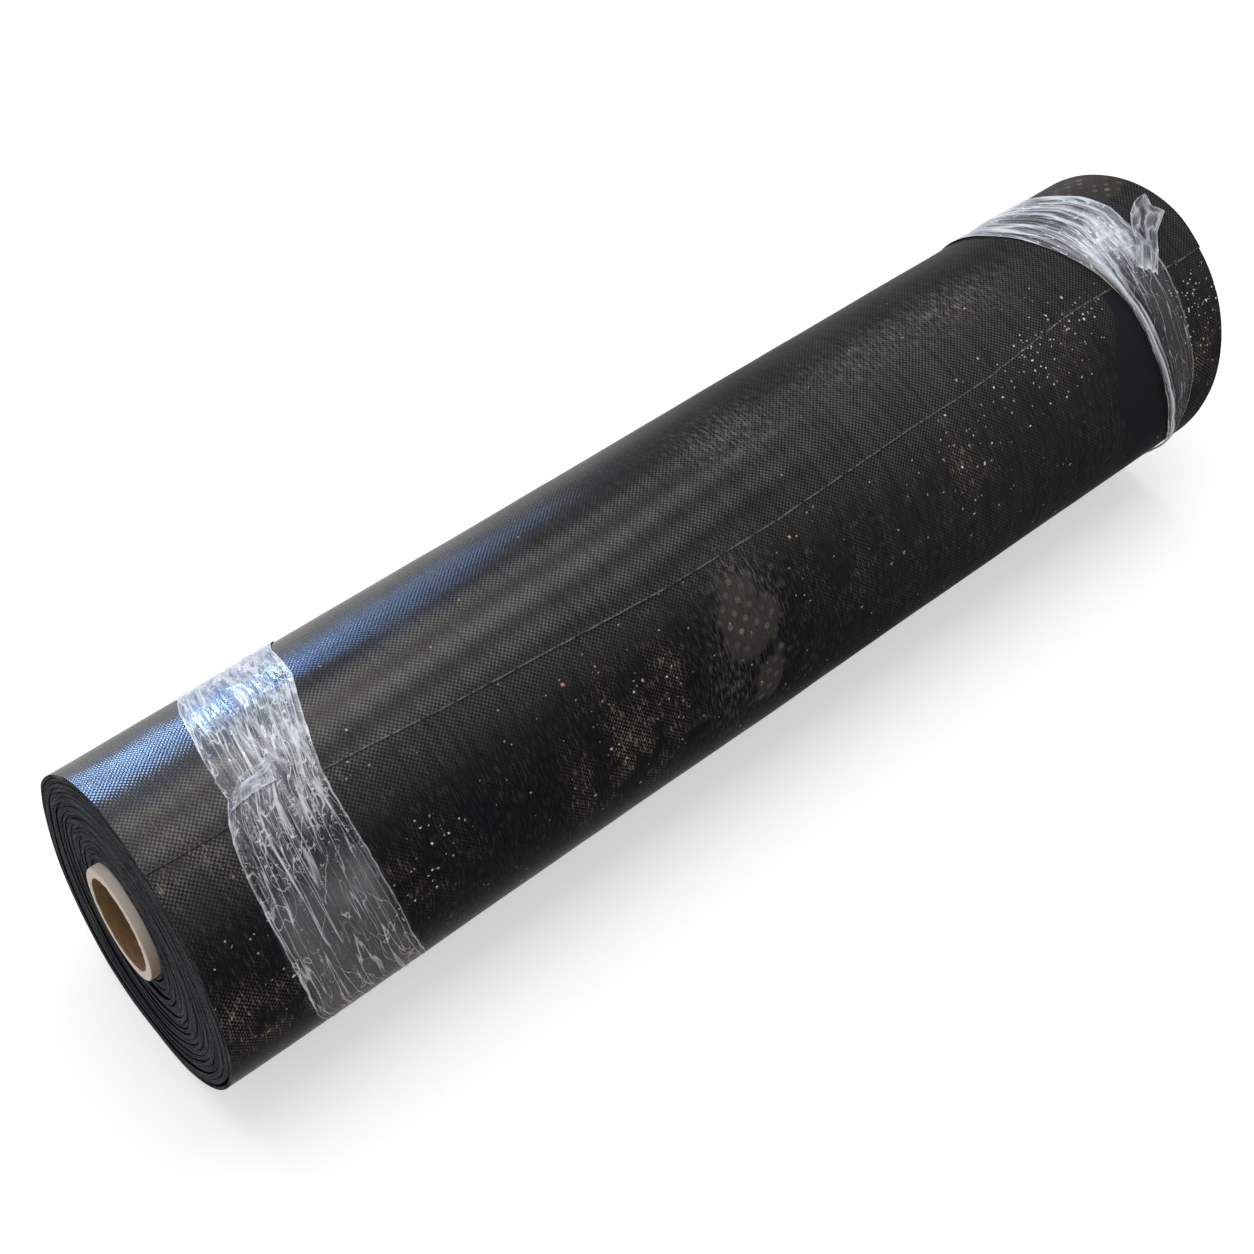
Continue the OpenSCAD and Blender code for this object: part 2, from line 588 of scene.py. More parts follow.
@dataclass(frozen=True)
class BitumenFelt:
    """Polymer bitumen felt, embossed while hot.

    To the eye it is near-black and satin, grey where it is chalked, with painted highlights on its top, pips
    and free edge, painted shade between the pips, and dust on its relief.
    """

    black: str = "#17181b"
    chalk_highlight_grey: str = "#6c6c6c"
    dust: str = "#877a66"
    scuff: str = "#77746f"
    print_grey: str = "#77726a"
    print_ground: str = "#45433e"
    tan_speck: str = "#b79a70"
    pale_speck: str = "#f0eadf"
    edge_highlight_and_dust: str = "#8a8780"
    covered: str = "#282a2e"
    misted: str = "#868788"
    roughness: float = 0.24
    pip_pitch: float = 3.6 * MM
    pip_height: float = 0.2 * MM
    dot_pitch: float = 15.0 * MM
    lumps: tuple[tuple[str, float, float, float], ...] = (
        ("patch", 70 * MM, 70 * MM, 2.0),
        ("grain", 5 * MM, 5 * MM, 2.0),
        ("streak", 5 * MM, 70 * MM, 3.0),
        ("clump", 24 * MM, 34 * MM, 3.0),
        ("stroke", 1.5 * MM, 9 * MM, 3.0),
    )
    speck_cells: tuple[tuple[float, float, float, float], ...] = (
        (3.6 * MM, 0.10, 0.14, 0.22),
        (7.0 * MM, 0.07, 0.11, 0.22),
    )

    def build(self) -> bpy.types.Material:
        """Makes the material, which reads the UV map in metres of sheet and the marks on the mesh.

        Returns:
            The material.
        """
        material, tree = new_material("embossed_bitumen_felt")
        node = partial(add_node, tree)
        uv = node("ShaderNodeUVMap", uv_map=UV_NAME)
        sides = node("ShaderNodeSeparateXYZ", {0: uv})
        marks = {m: node("ShaderNodeAttribute", attribute_name=m.value).outputs["Fac"] for m in Mark}

        # Noises by the size of their lumps, along the roll and round it
        noise = {}
        for name, along, around, detail in self.lumps:
            place = node("ShaderNodeMapping", {"Vector": uv, "Scale": (1 / along, 1 / around, 1.0)})
            noise[name] = node("ShaderNodeTexNoise", {"Vector": place, "Scale": 1.0, "Detail": detail})

        # Staggered pips of the embossing, and the larger dots of a worn print
        waves = {}
        for name, pitch in (("pips", self.pip_pitch), ("dots", self.dot_pitch)):
            pair = []
            for side in ("X", "Y"):
                turned = node(
                    "ShaderNodeMath", {0: sides.outputs[side], 1: math.tau / pitch}, operation="MULTIPLY"
                )
                pair.append(node("ShaderNodeMath", {0: turned}, operation="COSINE"))
            waves[name] = node("ShaderNodeMath", {0: pair[0], 1: pair[1]}, operation="MULTIPLY")

        # Chalk greys the upper side, streaked the way the sheet was wound; the same grey also carries a
        # painted highlight on the top of the roll and along the ripples
        streaked = node(
            "ShaderNodeMapRange",
            {"Value": noise["streak"], "From Min": 0.3, "From Max": 0.7, "To Min": 0.6, "To Max": 1.25},
        )
        # Painted light and shade on the pips: the grey lies on their tops as a painted highlight, and the
        # gaps between them stay black as painted shade
        painted_pip_light = node(
            "ShaderNodeMapRange",
            {"Value": waves["pips"], "From Min": -0.25, "From Max": 0.65, "To Min": 0.12, "To Max": 1.0},
        )
        # Where there is little chalk and painted highlight it is smeared, and the painted light and shade of
        # the pips hardly shows in it
        crisp = node("ShaderNodeMath", {0: marks[Mark.BLOOM], 1: 2.0}, operation="MULTIPLY", use_clamp=True)
        smeared = node("ShaderNodeMix", {0: crisp, 2: 0.5, 3: painted_pip_light})
        raised = node("ShaderNodeMath", {0: smeared, 1: streaked}, operation="MULTIPLY")
        chalk_and_highlight_share = node(
            "ShaderNodeMath", {0: marks[Mark.BLOOM], 1: raised}, operation="MULTIPLY", use_clamp=True
        )
        colour = node(
            "ShaderNodeMix", {0: chalk_and_highlight_share, 6: linear(self.black), 7: linear(self.chalk_highlight_grey)}, data_type="RGBA"
        )

        # Scuffs rub the felt grey in short strokes
        worn = node("ShaderNodeMapRange", {"Value": noise["stroke"], "From Min": 0.47, "From Max": 0.68})
        rubbed = node("ShaderNodeMath", {0: marks[Mark.SCUFF], 1: worn}, operation="MULTIPLY", use_clamp=True)
        colour = node("ShaderNodeMix", {0: rubbed, 6: colour, 7: linear(self.scuff)}, data_type="RGBA")

        # A worn print of plain round dots, on a pale ground with a ragged edge
        ragged = node(
            "ShaderNodeMapRange",
            {"Value": noise["clump"], "From Min": 0.3, "From Max": 0.7, "To Min": 0.5, "To Max": 1.5},
        )
        within = node("ShaderNodeMath", {0: marks[Mark.PRINT], 1: ragged}, operation="MULTIPLY")
        ground = node(
            "ShaderNodeMapRange",
            {"Value": within, "From Min": 0.44, "From Max": 0.56, "To Max": 0.75},
        )
        colour = node("ShaderNodeMix", {0: ground, 6: colour, 7: linear(self.print_ground)}, data_type="RGBA")
        dots = node("ShaderNodeMapRange", {"Value": waves["dots"], "From Min": 0.42, "From Max": 0.66})
        faded = node(
            "ShaderNodeMapRange",
            {"Value": noise["clump"], "From Min": 0.4, "From Max": 0.66, "To Min": 0.0, "To Max": 0.8},
        )
        left = node("ShaderNodeMath", {0: dots, 1: faded}, operation="MULTIPLY")
        printed = node("ShaderNodeMath", {0: left, 1: within}, operation="MULTIPLY", use_clamp=True)
        colour = node("ShaderNodeMix", {0: printed, 6: colour, 7: linear(self.print_grey)}, data_type="RGBA")

        # Dust was rubbed on the tops of the pips, and lies in strokes where it was wiped
        gathered = node("ShaderNodeMapRange", {"Value": noise["clump"], "From Min": 0.42, "From Max": 0.64})
        rubbed_on = node("ShaderNodeMapRange", {"Value": waves["pips"], "From Min": 0.3, "From Max": 0.75})
        wiped = node(
            "ShaderNodeMapRange",
            {"Value": noise["stroke"], "From Min": 0.56, "From Max": 0.7, "To Max": 0.8},
        )
        settled = node("ShaderNodeMath", {0: rubbed_on, 1: 0.45, 2: wiped}, operation="MULTIPLY_ADD")
        lying = node("ShaderNodeMath", {0: settled, 1: gathered}, operation="MULTIPLY")
        dusty = node("ShaderNodeMath", {0: lying, 1: marks[Mark.DUST]}, operation="MULTIPLY", use_clamp=True)
        colour = node("ShaderNodeMix", {0: dusty, 6: colour, 7: linear(self.dust)}, data_type="RGBA")

        # Specks of mortar, each in a cell of its own and out of round, as many as the mark asks for
        for cell, least, spread, share in self.speck_cells:
            place = node("ShaderNodeMapping", {"Vector": uv, "Scale": (1 / cell, 1 / cell, 1.0)})
            bend = node("ShaderNodeTexNoise", {"Vector": place, "Scale": 4.0})
            bent = node(
                "ShaderNodeVectorMath",
                {0: bend.outputs["Color"], 1: (0.6, 0.6, 0.0), 2: place},
                operation="MULTIPLY_ADD",
            )
            spots = node("ShaderNodeTexVoronoi", {"Vector": bent, "Scale": 1.0})
            chance = node("ShaderNodeSeparateColor", {0: spots.outputs["Color"]})
            wanted = node("ShaderNodeMath", {0: marks[Mark.SPECKS], 1: share}, operation="MULTIPLY")
            chosen = node("ShaderNodeMath", {0: chance.outputs[0], 1: wanted}, operation="LESS_THAN")
            size = node(
                "ShaderNodeMath", {0: chance.outputs[1], 1: spread, 2: least}, operation="MULTIPLY_ADD"
            )
            inside = node("ShaderNodeMath", {0: spots.outputs["Distance"], 1: size}, operation="LESS_THAN")
            speck = node("ShaderNodeMath", {0: inside, 1: chosen}, operation="MULTIPLY")
            paler = node(
                "ShaderNodeMath", {0: chance.outputs[2], 1: marks[Mark.SPECKS]}, operation="MULTIPLY"
            )
            tint = node(
                "ShaderNodeMix",
                {0: paler, 6: linear(self.tan_speck), 7: linear(self.pale_speck)},
                data_type="RGBA",
            )
            colour = node("ShaderNodeMix", {0: speck, 6: colour, 7: tint}, data_type="RGBA")

        # A thin pale line along the cut free edge, broken here and there: a painted highlight where the edge
        # catches the light, with dust
        thin = node(
            "ShaderNodeMapRange",
            {"Value": marks[Mark.EDGE], "From Min": 0.62, "From Max": 0.95, "To Max": 0.8},
        )
        broken = node("ShaderNodeMapRange", {"Value": noise["grain"], "From Min": 0.35, "From Max": 0.6})
        lined = node("ShaderNodeMath", {0: thin, 1: broken}, operation="MULTIPLY")
        colour = node("ShaderNodeMix", {0: lined, 6: colour, 7: linear(self.edge_highlight_and_dust)}, data_type="RGBA")

        # A patch that film had covered is clean, with a sharp edge
        bounded = node(
            "ShaderNodeMath", {0: noise["clump"], 1: 0.14, 2: marks[Mark.CLEAN]}, operation="MULTIPLY_ADD"
        )
        clean = node("ShaderNodeMapRange", {"Value": bounded, "From Min": 0.57, "From Max": 0.6})
        colour = node("ShaderNodeMix", {0: clean, 6: colour, 7: linear(self.covered)}, data_type="RGBA")

        # Film that clings to the sheet holds a thin grey mist against it
        cloudy = node(
            "ShaderNodeMapRange",
            {"Value": noise["patch"], "From Min": 0.35, "From Max": 0.65, "To Min": 0.32, "To Max": 0.66},
        )
        bared = node(
            "ShaderNodeMath", {0: dusty, 1: -0.6, 2: cloudy}, operation="MULTIPLY_ADD", use_clamp=True
        )
        misty = node("ShaderNodeMath", {0: marks[Mark.MIST], 1: bared}, operation="MULTIPLY", use_clamp=True)
        colour = node("ShaderNodeMix", {0: misty, 6: colour, 7: linear(self.misted)}, data_type="RGBA")

        # The relief is softer in worn patches, with fine grit on top
        firm = node(
            "ShaderNodeMapRange",
            {"Value": noise["patch"], "From Min": 0.35, "From Max": 0.6, "To Min": 0.55, "To Max": 1.0},
        )
        flat = node("ShaderNodeMath", {0: clean, 1: -0.9, 2: 1.0}, operation="MULTIPLY_ADD")
        shown = node("ShaderNodeMath", {0: marks[Mark.GLOSS], 1: 0.65, 2: 0.35}, operation="MULTIPLY_ADD")
        smoothed = node("ShaderNodeMath", {0: shown, 1: flat}, operation="MULTIPLY")
        kept = node("ShaderNodeMath", {0: firm, 1: smoothed}, operation="MULTIPLY")
        relief = node("ShaderNodeMath", {0: waves["pips"], 1: kept}, operation="MULTIPLY")
        gritty = node("ShaderNodeMath", {0: noise["grain"], 1: 0.6, 2: relief}, operation="MULTIPLY_ADD")
        bump = node("ShaderNodeBump", {"Strength": 1.0, "Distance": self.pip_height, "Height": gritty})
        patchy = node(
            "ShaderNodeMath",
            {0: noise["patch"], 1: 0.12, 2: self.roughness - 0.06},
            operation="MULTIPLY_ADD",
        )
        roughness = node(
            "ShaderNodeMath", {0: dusty, 1: 0.35, 2: patchy}, operation="MULTIPLY_ADD", use_clamp=True
        )
        level = node("ShaderNodeMath", {0: marks[Mark.GLOSS], 1: 0.42}, operation="MULTIPLY")
        shader = node(
            "ShaderNodeBsdfPrincipled",
            {
                "Base Color": colour,
                "Roughness": roughness,
                "IOR": 1.5,
                "Specular IOR Level": level,
                "Normal": bump,
            },
        )
        node("ShaderNodeOutputMaterial", {0: shader})
        return material


@dataclass(frozen=True)
class CutFelt:
    """The cut edge of the felt: torn bitumen and fibre, dull, with lighter streaks along the cut."""

    dark: str = "#28292a"
    pale: str = "#757679"
    roughness: float = 0.4
    streak: tuple[float, float] = (0.9 * MM, 60 * MM)
    grit: float = 0.8 * MM

    def build(self) -> bpy.types.Material:
        """Makes the material, which reads the UV map in metres of sheet, and object coordinates for grit.

        Returns:
            The material.
        """
        material, tree = new_material("cut_bitumen_felt")
        node = partial(add_node, tree)
        uv = node("ShaderNodeUVMap", uv_map=UV_NAME)
        place = node("ShaderNodeTexCoord").outputs["Object"]
        scale = (1 / self.streak[0], 1 / self.streak[1], 1.0)
        long_way = node("ShaderNodeMapping", {"Vector": uv, "Scale": scale})
        streaks = node("ShaderNodeTexNoise", {"Vector": long_way, "Scale": 1.0, "Detail": 5.0})
        grit = node("ShaderNodeTexNoise", {"Vector": place, "Scale": 1 / self.grit, "Detail": 2.0})
        both = node("ShaderNodeMath", {0: streaks, 1: grit}, operation="MULTIPLY")
        lift = node("ShaderNodeMapRange", {"Value": both, "From Min": 0.18, "From Max": 0.42})
        colour = node(
            "ShaderNodeMix", {0: lift, 6: linear(self.dark), 7: linear(self.pale)}, data_type="RGBA"
        )
        bump = node("ShaderNodeBump", {"Strength": 0.6, "Distance": 0.4 * MM, "Height": both})

        # The cut is dull, and the strip of each turn that stands out of the next has the sheen of the sheet
        facing = node("ShaderNodeSeparateXYZ", {0: node("ShaderNodeNewGeometry").outputs["Normal"]})
        endwise = node("ShaderNodeMath", {0: facing.outputs["X"]}, operation="ABSOLUTE")
        level = node(
            "ShaderNodeMapRange", {"Value": endwise, "From Min": 0.7, "From Max": 0.3, "To Max": 0.25}
        )
        shader = node(
            "ShaderNodeBsdfPrincipled",
            {
                "Base Color": colour,
                "Roughness": self.roughness,
                "IOR": 1.5,
                "Specular IOR Level": level,
                "Normal": bump,
            },
        )
        node("ShaderNodeOutputMaterial", {0: shader})
        return material


@dataclass(frozen=True)
class KraftBoard:
    """Spirally wound kraft board, glued in plies.

    To the eye it is matte and fibrous, with the plies' rings on its cut ends and a pale outer ply, painted
    lighter on top and browner below as painted light and shade.
    """

    middle: float
    bore: float
    outside: float
    brown: str = "#a1815e"
    deep: str = "#6a4d30"
    cut: str = "#f4e6d8"
    cut_shade: str = "#dac5b1"
    outer: str = "#d6cabd"
    outer_painted_shade: str = "#93765a"
    roughness: float = 0.85
    ply: float = 1.3 * MM
    fibre: float = 2.5 * MM
    seam_pitch: float = 95 * MM
    blotch: float = 18 * MM

    def build(self) -> bpy.types.Material:
        """Makes the material, which reads object coordinates, moved to the core's axis.

        Returns:
            The material.
        """
        material, tree = new_material("wound_kraft_board")
        node = partial(add_node, tree)
        place = node("ShaderNodeTexCoord").outputs["Object"]
        centred = node("ShaderNodeMapping", {"Vector": place, "Location": (0, 0, -self.middle)})
        sides = node("ShaderNodeSeparateXYZ", {0: centred})
        across = node("ShaderNodeCombineXYZ", {1: sides.outputs["Y"], 2: sides.outputs["Z"]})
        radius = node("ShaderNodeVectorMath", {0: across}, operation="LENGTH").outputs["Value"]

        # Fibres run round the tube, and blotches vary its colour
        scale = (1 / self.fibre, 0.3 / self.fibre, 0.3 / self.fibre)
        stretched = node("ShaderNodeMapping", {"Vector": centred, "Scale": scale})
        fibres = node("ShaderNodeTexNoise", {"Vector": stretched, "Scale": 1.0, "Detail": 5.0})
        blotches = node("ShaderNodeTexNoise", {"Vector": centred, "Scale": 1 / self.blotch, "Detail": 3.0})

        # The wall of the bore, with the seam of its inner ply
        wall = node(
            "ShaderNodeMix", {0: fibres, 6: linear(self.deep), 7: linear(self.brown)}, data_type="RGBA"
        )
        around = node("ShaderNodeMath", {0: sides.outputs["Y"], 1: sides.outputs["Z"]}, operation="ARCTAN2")
        turned = node("ShaderNodeMath", {0: around, 1: 1 / math.tau}, operation="MULTIPLY")
        wound = node(
            "ShaderNodeMath",
            {0: sides.outputs["X"], 1: 1 / self.seam_pitch, 2: turned},
            operation="MULTIPLY_ADD",
        )
        along_seam = node("ShaderNodeMath", {0: wound}, operation="FRACT")
        seam = node(
            "ShaderNodeMapRange", {"Value": along_seam, "From Min": 0.012, "From Max": 0.0, "To Max": 0.8}
        )
        wall = node("ShaderNodeMix", {0: seam, 6: wall, 7: linear(self.deep)}, data_type="RGBA")

        # The cut ends, with the plies' rings drawn coarser than they are, so that they show
        plies = node(
            "ShaderNodeTexWave",
            {"Vector": centred, "Scale": WAVE_PERIOD / self.ply, "Distortion": 1.5, "Detail": 2.0},
            wave_type="RINGS",
            rings_direction="X",
        )
        shaded = node("ShaderNodeMath", {0: plies.outputs["Fac"], 1: blotches}, operation="MULTIPLY")
        ends = node(
            "ShaderNodeMix", {0: shaded, 6: linear(self.cut), 7: linear(self.cut_shade)}, data_type="RGBA"
        )
        past_bore = node(
            "ShaderNodeMapRange",
            {"Value": radius, "From Min": self.bore + 0.3 * MM, "From Max": self.bore + 0.9 * MM},
        )
        colour = node("ShaderNodeMix", {0: past_bore, 6: wall, 7: ends}, data_type="RGBA")

        # The outer ply, painted pale above and browner where it turns down: painted light on its top and
        # painted shade below
        low = node(
            "ShaderNodeMapRange",
            {"Value": sides.outputs["Z"], "From Min": 30 * MM, "From Max": -10 * MM},
        )
        painted_shade_below = node("ShaderNodeMath", {0: low, 1: 0.7, 2: 0.15}, operation="MULTIPLY_ADD")
        ply = node(
            "ShaderNodeMix",
            {0: painted_shade_below, 6: linear(self.outer), 7: linear(self.outer_painted_shade)},
            data_type="RGBA",
        )
        on_side = node(
            "ShaderNodeMapRange",
            {"Value": radius, "From Min": self.outside - 0.7 * MM, "From Max": self.outside - 0.2 * MM},
        )
        colour = node("ShaderNodeMix", {0: on_side, 6: colour, 7: ply}, data_type="RGBA")
        rough = node("ShaderNodeMath", {0: fibres, 1: plies.outputs["Fac"]}, operation="ADD")
        bump = node("ShaderNodeBump", {"Strength": 0.45, "Distance": 0.35 * MM, "Height": rough})
        shader = node(
            "ShaderNodeBsdfPrincipled",
            {
                "Base Color": colour,
                "Roughness": self.roughness,
                "IOR": 1.5,
                "Specular IOR Level": 0.3,
                "Normal": bump,
            },
        )
        node("ShaderNodeOutputMaterial", {0: shader})
        return material


@dataclass(frozen=True)
class StretchFilm:
    """Polyethylene stretch film, blown and wound on in layers.

    To the eye it is clear and glossy, milky along its creases and in many layers, and brown with dirt.
    """

    milk: str = "#e8f0fb"
    dirt: str = "#9c8566"
    roughness: float = 0.12
    gloss_roughness: float = 0.312
    ior: float = 1.5
    stroke: tuple[float, float] = (7 * MM, 9 * MM)
    faintest: float = 0.07
    creases: tuple[tuple[str, float, float, float, float, float], ...] = (
        ("long", 10 * MM, 190 * MM, 2.0, 0.35, 0.02),
        ("fine", 4.2 * MM, 75 * MM, 1.0, 0.4, 0.028),
        ("branch", 15 * MM, 42 * MM, 1.0, 1.1, 0.014),
        ("scrawl", 6.5 * MM, 5.5 * MM, 1.0, 1.2, 0.05),
    )

    def build(self) -> bpy.types.Material:
        """Makes the material, which reads the UV map in metres of film and the marks on the mesh.

        Returns:
            The material.
        """
        material, tree = new_material("clear_stretch_film")
        node = partial(add_node, tree)
        uv = node("ShaderNodeUVMap", uv_map=UV_NAME)
        marks = {m: node("ShaderNodeAttribute", attribute_name=m.value).outputs["Fac"] for m in FilmMark}

        # Creases are the thin lines where a noise crosses its middle: long ones with the pull, and scrawls
        waves, lines = {}, {}
        for name, along, around, detail, warp, width in self.creases:
            place = node("ShaderNodeMapping", {"Vector": uv, "Scale": (1 / along, 1 / around, 1.0)})
            inputs = {"Vector": place, "Scale": 1.0, "Detail": detail, "Distortion": warp}
            waves[name] = node("ShaderNodeTexNoise", inputs)
            off = node("ShaderNodeMath", {0: waves[name], 1: 0.5}, operation="SUBTRACT")
            away = node("ShaderNodeMath", {0: off}, operation="ABSOLUTE")
            lines[name] = node("ShaderNodeMapRange", {"Value": away, "From Min": width, "From Max": 0.0})

        # Scrawls are broken into short strokes
        scale = (1 / self.stroke[0], 1 / self.stroke[1], 1.0)
        place = node("ShaderNodeMapping", {"Vector": uv, "Scale": scale})
        gate = node("ShaderNodeTexNoise", {"Vector": place, "Scale": 1.0, "Detail": 1.0})
        opened = node("ShaderNodeMapRange", {"Value": gate, "From Min": 0.5, "From Max": 0.58})
        strokes = node("ShaderNodeMath", {0: lines["scrawl"], 1: opened}, operation="MULTIPLY")
        scrawled = node("ShaderNodeMath", {0: strokes, 1: marks[FilmMark.SCRAWL]}, operation="MULTIPLY")

        # The film is milky as a thin veil, and more so along its creases; on the near band's top the veil
        # also stands for painted reflection streaks
        straight = node(
            "ShaderNodeMath", {0: lines["fine"], 1: 0.35, 2: lines["long"]}, operation="MULTIPLY_ADD"
        )
        pulled = node("ShaderNodeMath", {0: lines["branch"], 1: 0.8, 2: straight}, operation="MULTIPLY_ADD")
        cloudy = node(
            "ShaderNodeMapRange",
            {"Value": waves["fine"], "From Min": 0.3, "From Max": 0.7, "To Min": 0.55, "To Max": 1.45},
        )
        veil = node("ShaderNodeMath", {0: marks[FilmMark.VEIL_AND_PAINTED_REFLECTION], 1: cloudy}, operation="MULTIPLY")
        creased = node("ShaderNodeMath", {0: marks[FilmMark.CREASED], 1: 0.9}, operation="MULTIPLY")
        lined = node("ShaderNodeMath", {0: pulled, 1: creased, 2: veil}, operation="MULTIPLY_ADD")
        all_milk = node("ShaderNodeMath", {0: scrawled, 1: 0.8, 2: lined}, operation="MULTIPLY_ADD")
        # The faintest milk is left out: it would only show as grain, and the mist on the sheet stands for it
        milky = node("ShaderNodeMapRange", {"Value": all_milk, "From Min": self.faintest, "From Max": 1.0})

        rippled = node(
            "ShaderNodeMath", {0: waves["fine"], 1: 0.8, 2: waves["long"]}, operation="MULTIPLY_ADD"
        )
        ridged = node("ShaderNodeMath", {0: lines["long"], 1: 0.25, 2: rippled}, operation="MULTIPLY_ADD")
        height = node("ShaderNodeMath", {0: scrawled, 1: 0.4, 2: ridged}, operation="MULTIPLY_ADD")
        bump = node("ShaderNodeBump", {"Strength": 0.8, "Distance": 1.2 * MM, "Height": height})

        # Where it is clear it mirrors more the flatter it is seen, unless it is dull
        colour = node(
            "ShaderNodeMix",
            {0: marks[FilmMark.GRIME], 6: linear(self.milk), 7: linear(self.dirt)},
            data_type="RGBA",
        )
        mirror = node("ShaderNodeFresnel", {"IOR": self.ior, "Normal": bump})
        glossy = node(
            "ShaderNodeMath", {0: 1.0, 1: marks[FilmMark.DULL]}, operation="SUBTRACT", use_clamp=True
        )
        shine = node("ShaderNodeMath", {0: mirror, 1: glossy}, operation="MULTIPLY", use_clamp=True)
        gloss = node(
            "ShaderNodeBsdfAnisotropic",
            {"Color": linear(self.milk), "Roughness": self.gloss_roughness, "Normal": bump},
        )
        clear = node("ShaderNodeBsdfTransparent")
        film = node("ShaderNodeMixShader", {0: shine, 1: clear, 2: gloss})
        white = node(
            "ShaderNodeBsdfPrincipled",
            {"Base Color": colour, "Roughness": self.roughness, "IOR": self.ior, "Normal": bump},
        )
        both = node("ShaderNodeMixShader", {0: milky, 1: film, 2: white})
        node("ShaderNodeOutputMaterial", {0: both})
        return material


@dataclass(frozen=True)
class Patch:
    """A soft-edged place on the outer turn, by the pixel of the photograph at its middle."""

    mark: Mark
    pixel: Pixel
    along: float
    around: float
    amount: float

    def cover(self, camera: PhotoCamera, shape: RollShape, x: np.ndarray, angle: np.ndarray) -> np.ndarray:
        """How much of the mark the patch lays at each place.

        Args:
            camera: The photograph's camera.
            shape: The roll's shape.
            x: Places along X.
            angle: Angles on the roll.

        Returns:
            The amount at each place.
        """
        middle_x, middle_angle = camera.on_roll(self.pixel, shape)
        arc = np.radians(wrap(angle - middle_angle)) * shape.radius
        return self.amount * np.exp(-(((x - middle_x) / self.along) ** 2) - (arc / self.around) ** 2)


@dataclass(frozen=True)
class FilmEdge:
    """One edge of a band: where it shows, and the leaning ring that it follows out of sight.

    Its places are in millimetres from the sheet's near edge.
    """

    middle: float
    swing: float
    lean: float
    angles: tuple[float, ...]
    places: tuple[float, ...]
    blend: float = 40.0

    def ring(self, angle: np.ndarray) -> np.ndarray:
        """The leaning ring's place at each angle."""
        return self.middle - self.swing * np.cos(np.radians(angle - self.lean))

    def at(self, angle: np.ndarray) -> np.ndarray:
        """Where the edge is.

        Args:
            angle: Angles on the roll.

        Returns:
            The edge's place along X at each angle.
        """
        seen = np.array(self.angles)
        off = np.concatenate([[0.0], np.array(self.places) - self.ring(seen), [0.0]])
        seen = np.concatenate([[seen[0] - self.blend], seen, [seen[-1] + self.blend]])
        return (self.ring(angle) + np.interp(angle, seen, off)) * MM - RollShape().half_length


NEAR_LEFT = FilmEdge(
    middle=103,
    swing=45,
    lean=52,
    angles=(-29, -13, 1, 15, 23, 33, 47, 64, 82, 100),
    places=(96, 87, 80, 77, 67, 61, 58, 58, 61, 66),
)
NEAR_RIGHT = FilmEdge(
    middle=183,
    swing=45,
    lean=52,
    angles=(-35, -14, -2, 11, 23, 37, 52, 70, 88),
    places=(177, 169, 158, 147, 139, 137, 138, 141, 146),
)
FAR_LEFT = FilmEdge(
    middle=926,
    swing=37,
    lean=-30,
    angles=(-26, -12, 5, 22, 38, 56, 74, 91, 111),
    places=(889, 894, 902, 912, 919, 921, 927, 937, 958),
)
FAR_RIGHT = FilmEdge(
    middle=972,
    swing=0,
    lean=0,
    angles=(-29, -17, -2, 7, 31, 42, 58, 71, 84, 97, 112),
    places=(971, 980, 982, 977, 976, 974, 970, 970, 967, 965, 970),
)


